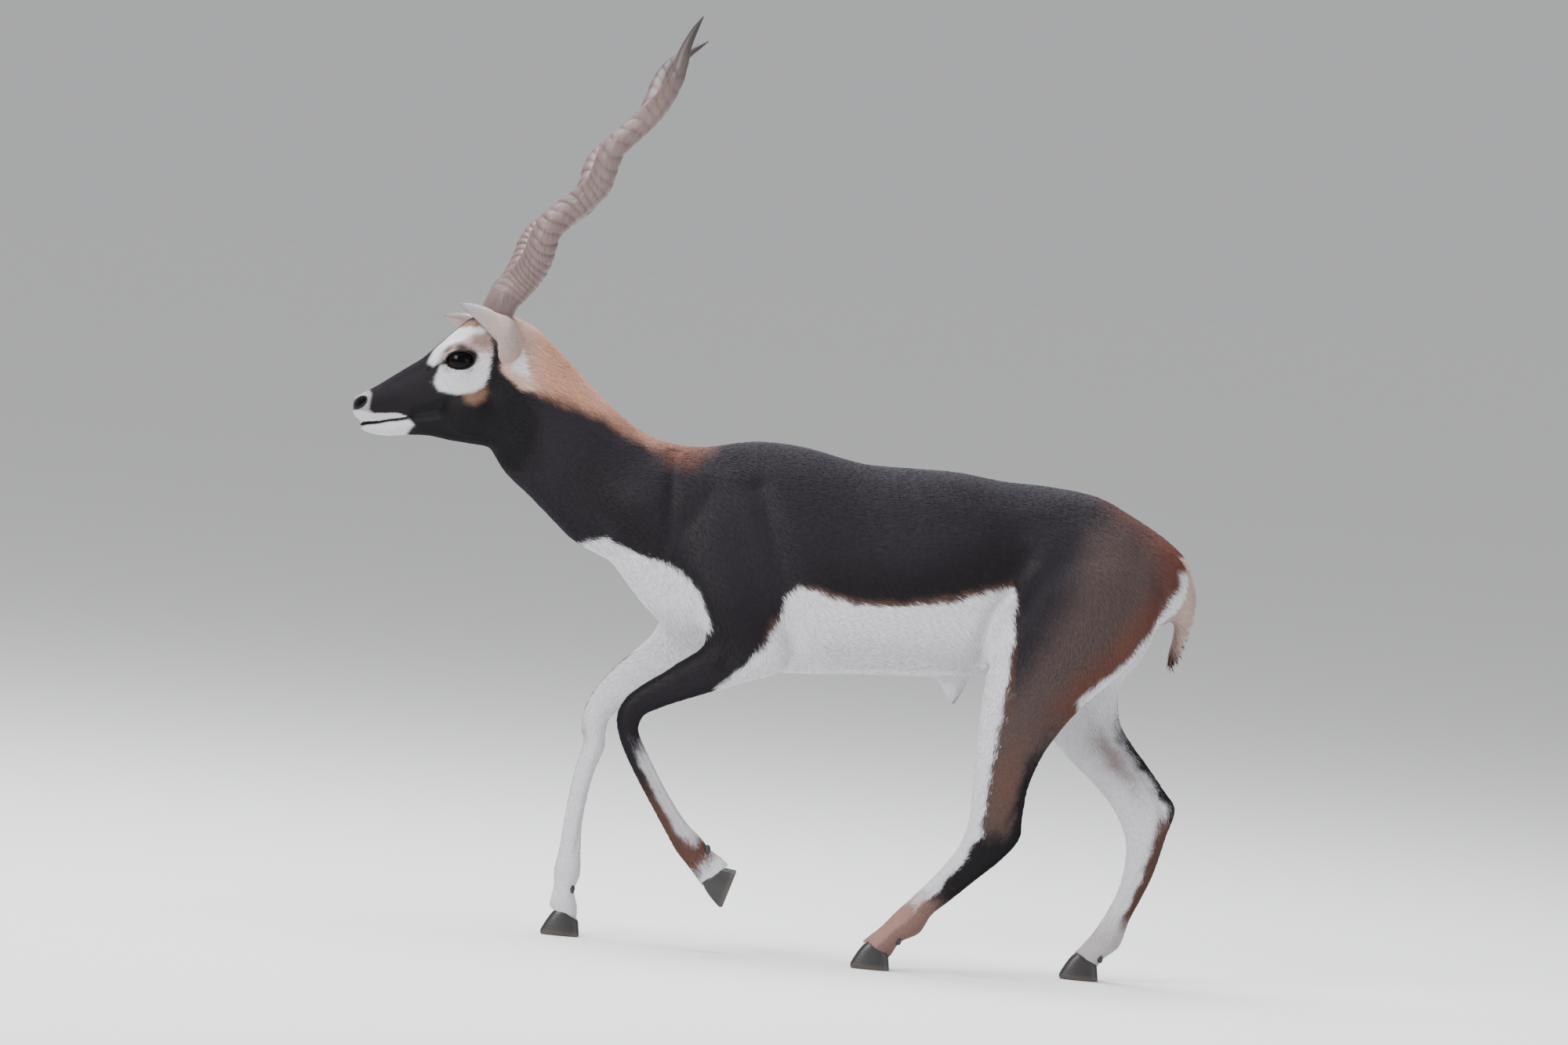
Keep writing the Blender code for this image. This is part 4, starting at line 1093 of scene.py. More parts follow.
    @staticmethod
    def hindleg(row: Array, fore: Array, outer: Array) -> tuple[Array, Array]:
        """Brown outer face of a hind leg with a white front, and its white inner face with a dark rear.

        Args:
            row: how far down the leg each point is, in rows of its table.
            fore: place along the chord, 1 at the front.
            outer: 1 on the outer face.

        Returns:
            Colours, and how far they have taken over from the body's.
        """
        face = blend(GREY_BROWN, BROWN * 1.3, 0.8 * bell(row, 7.6, 1.7) * bell(fore, -0.15, 0.5))
        face = blend(face, DEEP_BLACK, smooth_step(-fore, 0.45, 0.8) * smooth_step(row, 5.5, 7.0))
        face = blend(face, DEEP_BLACK, smooth_step(row, 9.2, 10.4))
        face = blend(face, PINK_BROWN * 0.85, smooth_step(row, 12.6, 14.2))
        front = blend(WHITE, PINK_BROWN * 1.3, smooth_step(row, 13, 14.5))
        face = blend(face, front, smooth_step(fore - np.interp(row, *HINDLEG_BORDER), -0.06, 0.06))
        inside = blend(WHITE, BROWN * 1.5, 0.75 * bell(row, 7.4, 1.6) * bell(fore, -0.2, 0.45))
        inside = blend(inside, DEEP_BLACK, smooth_step(-fore, 0.55, 0.85) * smooth_step(row, 5, 7))
        inside = blend(inside, BROWN, smooth_step(-fore, 0.1, 0.5) * smooth_step(row, 9.5, 11.0))
        inside = blend(inside, 0.6 * WHITE + 0.4 * PINK_BROWN, smooth_step(row, 13.6, 15.0))
        behind = smooth_step(-fore, 0.8, 0.95) * smooth_step(-row, -4.6, -3.8)
        whole = blend(blend(inside, face, outer), WHITE, behind)
        return whole, smooth_step(row, 4.0, 6.0) * outer + smooth_step(row, 2.0, 3.4) * (1 - outer)


NOSTRIL_TILT = math.radians(40)


@dataclass
class Skin:
    """The skin: one closed surface over every part of the flesh.

    The lofts and masses are fused by a voxel remesh and smoothed. The face is given finer faces. The surface
    is then moved inwards by the depth of the coat and carved with folds, lids, nostrils and mouth.

    Args:
        sides: points around each loft before they are fused.
        voxel: grain of the fused surface, in metres.
        rounds: rounds of smoothing before and after the head is given finer faces.
        triangles: how many triangles it keeps.
        coat_depth: how deep it lies under the solids' surface on the body, in metres.
        face_depth: the same on the face and feet.
        swells: soft bumps and hollows.
        folds: creases, tendons and the line of the mouth.
    """

    sides: int = 40
    voxel: float = 0.0027
    rounds: tuple[int, int] = (56, 3)
    triangles: int = 172000
    coat_depth: float = 0.0026
    face_depth: float = 0.0008
    swells: tuple = (
        Swell((-404, 40, 803), (24, 16, 7), 2.0),
        Swell((-470, 18, 742), (34, 10, 12), -1.6),
        Swell((-430, 30, 752), (26, 12, 14), -1.8),
        Swell((-385, 36, 720), (26, 14, 22), 2.2),
        Swell((-372, 40, 770), (12, 14, 14), -2.0),
        Swell((-519, 15, 744), (12, 9, 8), 1.2),
        Swell((-505, 14, 712), (24, 12, 5), 1.4),
        Swell((-60, 85, 470), (52, 30, 44), 5.0),
        Swell((-30, 85, 590), (34, 30, 60), 3.0),
        Swell((400, 85, 500), (58, 40, 60), 5.0),
        Swell((345, 70, 604), (22, 22, 16), 3.5),
        Swell((288, 84, 430), (26, 30, 50), 3.0),
        Swell((-180, 60, 600), (40, 34, 40), 2.5),
        Swell((120, 96, 440), (90, 40, 60), 2.0),
        Swell((310, 84, 560), (30, 30, 30), -3.5),
    )
    folds: tuple = (
        Fold([(-128, 668), (-133, 620), (-138, 560), (-150, 520)], 9, 3.6, off_middle=20),
        Fold([(-22, 620), (-6, 560), (10, 500), (22, 455), (24, 425)], 15, 5.0, off_middle=30),
        Fold([(244, 384), (262, 430), (286, 480), (318, 530)], 13, 5.0, off_middle=30),
        Fold([(470, 560), (452, 480), (430, 410), (395, 345)], 14, 1.4, off_middle=30),
        Fold([(300, 492), (276, 466), (266, 430), (260, 396)], 8, 6.0, off_middle=40),
        Fold([(-332, 712), (-290, 660), (-250, 610), (-215, 560)], 12, 2.4, off_middle=12),
        Fold([(-300, 790), (-250, 730), (-200, 690)], 16, 2.0, off_middle=14),
        Fold([(-105, 500), (-78, 440), (-60, 405)], 9, 3.2, side=-1, off_middle=34),
        Fold([(350, 312), (330, 262), (308, 214), (296, 190)], 5.5, 4.0, side=-1),
        Fold([(436, 318), (450, 280), (474, 240), (494, 208)], 5.5, 4.0, side=1),
        Fold([(-176, 300), (-160, 262), (-140, 222), (-118, 184)], 3.6, 1.8, side=-1),
        Fold([(-230, 262), (-240, 225), (-249, 186), (-256, 150)], 3.6, 1.8, side=1),
        Fold([(222, 128), (196, 102), (176, 84)], 3.6, 1.8, side=-1),
        Fold([(470, 130), (456, 100), (440, 72)], 3.6, 1.8, side=1),
        Fold([(-428, 775), (-436, 771), (-445, 768)], 2.4, 2.0, off_middle=16),
        Fold([
            (-545, 703.5), (-528, 700.5), (-508, 702.2), (-490, 704.6), (-470, 707), (-466, 708),
        ], 1.7, 3.2),
    )

    def flesh(self) -> list[tuple[Array, list]]:
        """The closed parts that are fused, as drawing points and faces."""
        parts = [loft.closed(self.sides) for loft in LOFTS.values()]
        for x, y, z, *radii in MASSES:
            for side in (-1, 1):
                points, faces = ellipsoid((x, side * y, z), radii)
                parts.append((DRAWING.carried(points), faces))
        return parts

    def fused(self) -> Object:
        """One closed mesh of the flesh."""
        points, faces = joined(self.flesh())
        whole = mesh_object("skin", DRAWING.to_row(points), faces)
        remesh = whole.modifiers.new("Remesh", "REMESH")
        remesh.mode = "VOXEL"
        remesh.voxel_size = self.voxel
        return with_modifiers_applied(whole)

    def smoothed(self, skin: Object, rounds: int) -> None:
        """Moves each point towards its neighbours' mean, and back again where the shape must not shrink."""
        mesh = skin.data
        points = points_of(mesh)
        count = len(points)
        ends = np.empty(len(mesh.edges) * 2, np.int32)
        mesh.edges.foreach_get("vertices", ends)
        a, b = ends.reshape(-1, 2).T
        degree = (np.bincount(a, minlength=count) + np.bincount(b, minlength=count))[:, None]
        # Legs and face are pushed back out nearly as far as they are drawn in. The body is left smoother.
        body = smooth_step(points[:, 2], 0.34, 0.46)[:, None]
        poll = DRAWING.to_row(np.array([-300.0, 0, 745]))[0]
        face = smooth_step(-points[:, 0], -poll, 0.47)[:, None]
        share = body * (1 - 0.8 * face)
        for _ in range(rounds):
            for step in (0.5, -0.52 * (1 - share)):
                total = np.empty_like(points)
                for axis, along in enumerate(points.T):
                    total[:, axis] = np.bincount(a, along[b], count) + np.bincount(b, along[a], count)
                points = points + step * (total / degree - points)
        set_points(mesh, points)

    def finer(self, skin: Object) -> None:
        """Splits the faces of the head, and again around eyes, nostrils and mouth."""
        for reach in ("head", "features"):
            shape = bmesh.new()
            shape.from_mesh(skin.data)
            middles = plain(np.array([edge.verts[0].co[:] for edge in shape.edges]))
            x, y, z = middles.T
            if reach == "head":
                pick = (x < -316) & (z > 640)
            else:
                eye = (np.hypot(x + 404, (z - 779) * 1.2) < 34) & (np.abs(y) > 16)
                nose = (x < -500) & (z > 690)
                mouth = near_line(x, z, [(-545, 703), (-508, 702), (-466, 708)], 7) > 0.35
                pick = eye | nose | mouth
            edges = [edge for edge, chosen in zip(shape.edges, pick) if chosen]
            bmesh.ops.subdivide_edges(shape, edges=edges, cuts=1, use_grid_fill=True)
            bmesh.ops.triangulate(shape, faces=[face for face in shape.faces if len(face.verts) > 4])
            shape.to_mesh(skin.data)
            shape.free()
        self.smoothed(skin, self.rounds[1])

    def depth(self, places: Array) -> Array:
        """How far the skin lies under the solids' surface, in metres."""
        x, _, z = places.T
        face = smooth_step(-x, 296, 350) * smooth_step(z, 600, 660)
        foot = smooth_step(-z, -400, -250)
        bare = np.maximum(face, 0.75 * foot)
        return self.coat_depth * (1 - bare) + self.face_depth * bare

    def carved(self, skin: Object) -> None:
        """Moves the surface in by the coat's depth and works the folds, lids and nostrils into it."""
        points, normals = points_of(skin.data), normals_of(skin.data)
        places = plain(points)
        lift = -self.depth(places)
        for mark in self.swells + self.folds:
            lift += mark.lift(places) * DRAWING.unit
        lift -= self.nostrils(places) * DRAWING.unit
        points += normals * lift[:, None]
        set_points(skin.data, points)
        places = plain(points)
        shift = self.lids(places)
        points[:, 1] += shift * DRAWING.unit
        for foot in FEET:
            points = foot.tucked(points)[0]
        set_points(skin.data, points)

    @staticmethod
    def nostrils(places: Array) -> Array:
        """How deep the nostrils sink: a comma-shaped ellipse with a soft lip."""
        x, y, z = places[:, 0] + 530.0, np.abs(places[:, 1]), places[:, 2] - 727.5
        long = (x * math.cos(NOSTRIL_TILT) + z * math.sin(NOSTRIL_TILT)) / 8.8
        short = (-x * math.sin(NOSTRIL_TILT) + z * math.cos(NOSTRIL_TILT)) / 4.0 + 0.35 * long**2 - 0.1
        ring = np.hypot(long, short)
        hole, lip = 6.5 * (1 - smooth_step(ring, 0.55, 1.05)), 1.0 * bell(ring, 1.35, 0.3)
        return smooth_step(y, 4.5, 7.5) * (hole - lip)

    @staticmethod
    def eye_front(x: Array, z: Array) -> Array:
        """Sideways place of the eyeball's outer surface at drawing offsets from the eye's middle."""
        ball = EYEBALL
        return ball.centre[1] + np.sqrt(np.maximum(ball.radius**2 - x**2 - z**2, 20.0))

    def lids(self, places: Array) -> Array:
        """How far points move sideways to lay lids over the eyeball and open the gap between them."""
        x, z = places[:, 0] - EYEBALL.centre[0], places[:, 2] - EYEBALL.centre[2]
        side, y = np.sign(places[:, 1]), np.abs(places[:, 1])
        opening = np.sqrt((np.abs(x) / 16.6) ** 2 + (np.abs(z - 0.06 * x) / 10.4) ** 1.8)
        near = (np.hypot(x, z) < 34) & (y > 16)
        front = self.eye_front(np.clip(x, -16, 16), np.clip(z, -14, 14))
        rim = front + 2.0 + 0.8 * bell(opening, 1.2, 0.14) * np.where(z > 0, 1.4, 0.7)
        lid = 1 - smooth_step(opening, 1.25, 1.9)
        crease = 1.5 * bell(opening, 1.62, 0.16) * np.where(z > 0, 1.0, 0.6)
        target = y * (1 - lid) + rim * lid - crease
        open_share = 1 - smooth_step(opening, 0.93, 1.06)
        target = target * (1 - open_share) + (front - 5.0) * open_share
        return np.where(near, (target - y) * side, 0.0)

    def thinned(self, skin: Object) -> Object:
        """Collapses the surface to its share of triangles."""
        skin.modifiers.new("Triangulate", "TRIANGULATE")
        with_modifiers_applied(skin)
        step = skin.modifiers.new("Decimate", "DECIMATE")
        step.ratio = min(1.0, self.triangles / len(skin.data.polygons))
        return with_modifiers_applied(skin)

    def built(self) -> Object:
        """The finished skin, ears included."""
        skin = self.fused()
        LOG.info("fused skin: %d faces", len(skin.data.polygons))
        self.smoothed(skin, self.rounds[0])
        self.finer(skin)
        self.carved(skin)
        skin = self.thinned(skin)
        LOG.info("thinned skin: %d triangles", len(skin.data.polygons))
        return skin


@dataclass(frozen=True)
class Eyeball:
    """A dark ball behind the lids.

    Args:
        centre: its middle in the drawing, of the right one.
        radius: its radius in drawing units.
    """

    centre: tuple[float, float, float] = (-404.0, 24.5, 779.0)
    radius: float = 20.0

    def built(self, side: Side, finish: Material) -> Object:
        """The ball of one side, with how far each point lies from the pupil's middle stored on it."""
        centre = np.array(self.centre) * (1, side.value, 1)
        points, faces = ellipsoid(centre, (self.radius,) * 3, 40, 56)
        offset = points - centre
        iris = np.hypot(offset[:, 0] / 1.25, offset[:, 2]) / self.radius
        ball = mesh_object(f"{side.name.lower()}_eyeball", DRAWING.to_row(DRAWING.carried(points)), faces)
        add_attribute(ball.data, "iris", "FLOAT", iris)
        ball.data.materials.append(finish)
        return ball


EYEBALL = Eyeball()


# The horns' side-view centrelines as the head carries them, from inside the skull to the tip.
HORN_LINES = {
    Side.LEFT: [
        (-356, 822), (-357, 838), (-349, 857), (-326, 880), (-311, 898), (-302, 914), (-297, 929),
        (-289, 948),
        (-269, 968), (-241, 989), (-225, 1005), (-218, 1021), (-213, 1036), (-204, 1053), (-184, 1071),
        (-164, 1088), (-147, 1107), (-134, 1125), (-126, 1141), (-120, 1157), (-115, 1175), (-104, 1198),
        (-91, 1219),
    ],
    Side.RIGHT: [
        (-360, 824), (-358, 838), (-352, 856), (-337, 873), (-324, 893), (-316, 914), (-310, 930),
        (-297, 945),
        (-268, 967), (-247, 982), (-237, 1004), (-233, 1021), (-227, 1033), (-214, 1046), (-197, 1061),
        (-179, 1077), (-164, 1095), (-157, 1113), (-152, 1129), (-145, 1143), (-134, 1156), (-118, 1168),
        (-103, 1177), (-88, 1186),
    ],
}


@dataclass
class Horn:
    """A corkscrew swept along its side-view line, ringed by ridges that stand further apart towards the tip.

    Args:
        side: which horn.
        sideways: drawing y of its root and tip.
        radii: shares of its length, and its radius there between the ridges.
        pitch: length of one turn of the corkscrew.
        first_bulge: where along the line it starts to swing outwards.
        swing: how far it swings sideways.
        rings: how many ridges it has.
        first_ring: where along the line the first one is.
        ridge: how high a ridge stands.
        slant: how far a ridge runs up and down the horn as it goes round.
        spacing: distance between ridges at the foot and at the last one.
        around: points in a section.
    """

    side: Side
    sideways: tuple[float, float]
    radii: tuple = (
        (0.0, 0.08, 0.2, 0.3, 0.45, 0.6, 0.75, 0.88, 0.96, 1.0),
        (21.5, 21, 19, 17, 16, 14.5, 12, 8, 4, 0.6),
    )
    pitch: float = 139.0
    first_bulge: float = 95.0
    swing: float = 9.0
    rings: int = 30
    first_ring: float = 44.0
    ridge: float = 1.7
    slant: float = 8.0
    spacing: tuple[float, float] = (8.6, 19.0)
    around: int = 60

    def ridge_profile(self, length: float) -> tuple[Array, Array, Array]:
        """Stations along the line, how far the ridges stand out there, and how deep in a groove each lies.

        A ridge is a rounded step, steep below with a sloping upper face, each a little unlike the next.
        """
        count = np.arange(self.rings)
        steps = self.spacing[0] + (self.spacing[1] - self.spacing[0]) * (count / (self.rings - 1)) ** 1.3
        starts = self.first_ring + np.concatenate([[0.0], np.cumsum(steps)])
        share = np.linspace(0, 1, 12, endpoint=False)
        wave = np.clip(np.sin(math.pi * share**0.8), 0, 1) ** 0.75
        height = self.ridge * (1 - 0.45 * count / self.rings) * (1 + 0.18 * np.sin(count * 2.3))
        height *= 0.45 + 0.55 * smooth_step(count, 0, 6)
        smooth = starts[-1] + (length - starts[-1]) * np.linspace(0, 1, 26)
        along = np.concatenate([[0.0, 15.0], (starts[:-1, None] + steps[:, None] * share).ravel(), smooth])
        lift = np.concatenate([[0.0, 0.0], (height[:, None] * wave).ravel(), np.zeros(26)])
        deep = (height / self.ridge)[:, None] * (1 - wave)
        return along, lift, np.concatenate([[0.3, 0.3], deep.ravel(), np.full(26, 0.25)])

    def centre_at(self, along: Array, length: float, line: Array, travelled: Array) -> Array:
        """The corkscrew's middle at places along it."""
        share = along / length
        swing = self.swing * np.clip(share / 0.16, 0, 1) * np.clip((1.15 - share) / 0.3, 0, 1)
        sway = swing * np.sin(2 * math.pi * (along - self.first_bulge) / self.pitch) * self.side.value
        root, tip = self.sideways
        x, z = np.interp(along, travelled, line[:, 0]), np.interp(along, travelled, line[:, 1])
        return np.stack([x, root + (tip - root) * share + sway, z], axis=1)

    def built(self, finish: Material) -> Object:
        """Sweeps a round section along the corkscrew and stores ring, length and grain on its points.

        Each section faces along the chord between the places a little before and after it, so that rings do
        not cross on the inside of a bend.
        """
        line = spline(HORN_LINES[self.side], 12)
        travelled = np.concatenate([[0.0], np.cumsum(np.linalg.norm(np.diff(line, axis=0), axis=1))])
        length = float(travelled[-1])
        along, lift, groove = self.ridge_profile(length)
        share = along / length
        centre = self.centre_at(along, length, line, travelled)
        reach = np.minimum(12.0, np.maximum(np.minimum(along, length - along), 1.0))
        after = self.centre_at(along + reach, length, line, travelled)
        before = self.centre_at(along - reach, length, line, travelled)
        tangent = unit_rows(after - before)
        forward = np.array([-0.8, 0.0, 0.6])
        first = unit_rows(forward - tangent * (tangent @ forward)[:, None])
        second = np.cross(tangent, first)
        turn = np.linspace(0, 2 * math.pi, self.around, endpoint=False)[None, :]
        twist = (2 * math.pi * along / self.pitch * 0.55)[:, None]
        strands = 1 + 0.006 * np.sin(17 * (turn + twist)) + 0.004 * np.sin(31 * (turn + twist) + 1.0)
        leaning = along[:, None] + self.slant * np.sin(turn + 2 * math.pi * along[:, None] / self.pitch)
        radius = np.interp(share, *self.radii)[:, None] + np.interp(leaning, along, lift)
        shape = (radius * strands)[..., None]
        rings = centre[:, None] + shape * (
            np.cos(turn)[..., None] * first[:, None] + np.sin(turn)[..., None] * second[:, None])
        points, faces = capped_tube(rings)
        horn = mesh_object(f"{self.side.name.lower()}_horn", DRAWING.to_row(points), faces)
        add_attribute(horn.data, "groove", "FLOAT", np.interp(leaning, along, groove).ravel())
        add_attribute(horn.data, "up_horn", "FLOAT", np.repeat(share, self.around))
        grain = [np.cos(turn + twist) * 3, np.sin(turn + twist) * 3, 0 * turn + along[:, None] / 60]
        add_attribute(horn.data, "strand", "FLOAT_VECTOR", np.stack(grain, axis=-1).reshape(-1, 3))
        horn.data.materials.append(finish)
        return horn


@dataclass
class Foot:
    """The cloven hoof and dewclaws of one leg.

    Args:
        name: the leg's name.
        side: -1 for the left, 1 for the right.
        stand: drawing x of a standing coronet, or x, z and turn in degrees of a lifted one.
        coronet: rear and front of the coronet, forward from the foot's own origin, in metres.
        coronet_height: height of the coronet over the sole there.
        half_width: half width of a claw at the coronet and at the sole.
        cleft: half the gap between the claws.
        sole: rear and front of the sole.
        dewclaw: half sizes of a dewclaw, in drawing units.
        dewclaws_apart: how far each is from the leg's middle, in drawing units.
    """

    name: str
    side: int
    stand: tuple[float, ...]
    coronet: tuple[float, float] = (-0.019, 0.015)
    coronet_height: tuple[float, float] = (0.0205, 0.0375)
    half_width: tuple[float, float] = (0.0082, 0.0102)
    cleft: float = 0.0013
    sole: tuple[float, float] = (-0.022, 0.036)
    dewclaw: tuple[float, float, float] = (3.8, 3.2, 6.0)
    dewclaws_apart: float = 7.5

    def in_row(self, points: Array, place: Array, turn: float) -> Array:
        """Points in the foot's own axes as row points: toe towards -X, tipped down by turn degrees."""
        angle = math.radians(turn)
        out = np.empty_like(points)
        out[..., 0] = place[0] - points[..., 0] * math.cos(angle) - points[..., 2] * math.sin(angle)
        out[..., 1] = place[1] + points[..., 1]
        out[..., 2] = place[2] - points[..., 0] * math.sin(angle) + points[..., 2] * math.cos(angle)
        return out

    def placed(self) -> tuple[Array, float]:
        """The foot's origin in the row's frame and its turn."""
        rows = LOFTS[self.name].rows
        y = (rows[-1][4] - DRAWING.sideways) * DRAWING.unit
        middle = np.array([sum(self.coronet) / 2, 0.0, sum(self.coronet_height) / 2])
        if len(self.stand) == 1:
            x = DRAWING.to_row(np.array([self.stand[0], 0.0, 0.0]))[0] + middle[0]
            return np.array([x, y, 0.0]), 0.0
        turn = self.stand[2] + DRAWING.pitch
        at = DRAWING.to_row(np.array([self.stand[0], 0.0, self.stand[1]]))
        shift = self.in_row(middle, np.zeros(3), turn)
        return np.array([at[0] - shift[0], y, at[2] - shift[2]]), turn

    def plane_at(self, forward: Array) -> Array:
        """Height of the coronet's plane over the sole, at places forward from the foot's origin."""
        slope = (self.coronet_height[1] - self.coronet_height[0]) / (self.coronet[1] - self.coronet[0])
        return self.coronet_height[0] + slope * (forward - self.coronet[0])

    def tucked(self, points: Array) -> tuple[Array, Array]:
        """Skin points below the coronet's plane, moved up to it and in between the claws.

        Args:
            points: points in the row's frame.

        Returns:
            The points, and which of them lay below the plane.
        """
        place, turn = self.placed()
        own = self.in_row(points - place, np.zeros(3), turn)
        x, y, z = own.T
        low = (z < self.plane_at(x)) & (z > -0.06) & (np.abs(x) < 0.06) & (np.abs(y) < 0.04)
        within, reach = 0.0025, self.cleft + 2 * self.half_width[0]
        inside = own.copy()
        inside[:, 0] = np.clip(x, self.coronet[0] + within, self.coronet[1] - within)
        inside[:, 1] = np.clip(y, within - reach, reach - within)
        inside[:, 2] = self.plane_at(inside[:, 0]) - within
        return np.where(low[:, None], self.in_row(inside, place, turn), points), low

    def claw(self, which: int) -> tuple[Array, list]:
        """One claw: sections from the coronet plane down to the sole.

        Across, each section is a flattened ellipse that narrows towards the toe; the inner wall stays flat.
        The growth rings are a small ripple of the half width.

        Args:
            which: -1 or 1, the side of the cleft.

        Returns:
            Points in the foot's own axes and faces.
        """
        turn = np.linspace(0, 2 * math.pi, 40, endpoint=False)[None, :]
        down = [np.linspace(-0.12, 0, 3), np.linspace(0.06, 0.9, 22), [0.95, 0.985, 1.0]]
        down = np.concatenate(down)[:, None]
        fall = np.clip(down, 0, 1)
        early = np.minimum(fall / 0.9, 1.0)
        rear = self.coronet[0] + (self.sole[0] - self.coronet[0]) * fall
        front = self.coronet[1] + (self.sole[1] - self.coronet[1]) * early**0.9
        half = self.half_width[0] + (self.half_width[1] - self.half_width[0]) * early
        half = half + 0.00006 * np.sin(fall * 52) * (fall > 0)
        inset = 0.0012 * smooth_step(fall, 0.93, 1.0) + 0.0016 * (down < 0) * (-down / 0.12)
        fore, side = np.cos(turn), np.sin(turn)
        along = (rear + front) / 2 + (front - rear - 2 * inset) / 2 * np.sign(fore) * np.abs(fore) ** 0.9
        toe = np.clip((along - rear) / (front - rear), 0, 1)
        narrow = 1 - 0.42 * fall * toe**2
        across = self.cleft + half + (half - inset) * np.sign(side) * np.abs(side) ** 0.85 * narrow
        across = across - 0.002 * fall * toe
        across = which * np.maximum(across, self.cleft * (0.9 + 0.25 * fall))
        height = np.maximum(self.plane_at(along) * (1 - down), 0.0) * (down < 1.0)
        return capped_tube(np.stack([along, across + 0 * height, height], axis=2))

    def built(self, finish: Material) -> list[Object]:
        """Both claws and both dewclaws."""
        place, turn = self.placed()
        made = []
        for which, word in ((self.side, "outer"), (-self.side, "inner")):
            points, faces = self.claw(which)
            claw = mesh_object(f"{self.name}_claw_{word}", self.in_row(points, place, turn), faces)
            add_attribute(claw.data, "height", "FLOAT", points[:, 2] / self.coronet_height[1])
            claw.data.materials.append(finish)
            made.append(claw)
        row = LOFTS[self.name].rows[18 if self.name.startswith("fore") else 16]
        inwards = unit_rows(np.array([row[0] - row[2], row[1] - row[3]])) * 3.0
        x, z = row[2] - 1.0 + inwards[0], row[3] + 1.0 + inwards[1]
        apart = self.dewclaws_apart
        points, faces = joined([ellipsoid((x, row[4] + y, z), self.dewclaw, 14, 18) for y in (-apart, apart)])
        dew = mesh_object(f"{self.name}_dewclaws", DRAWING.to_row(points), faces)
        add_attribute(dew.data, "height", "FLOAT", np.full(len(points), 0.5))
        dew.data.materials.append(finish)
        return made + [dew]


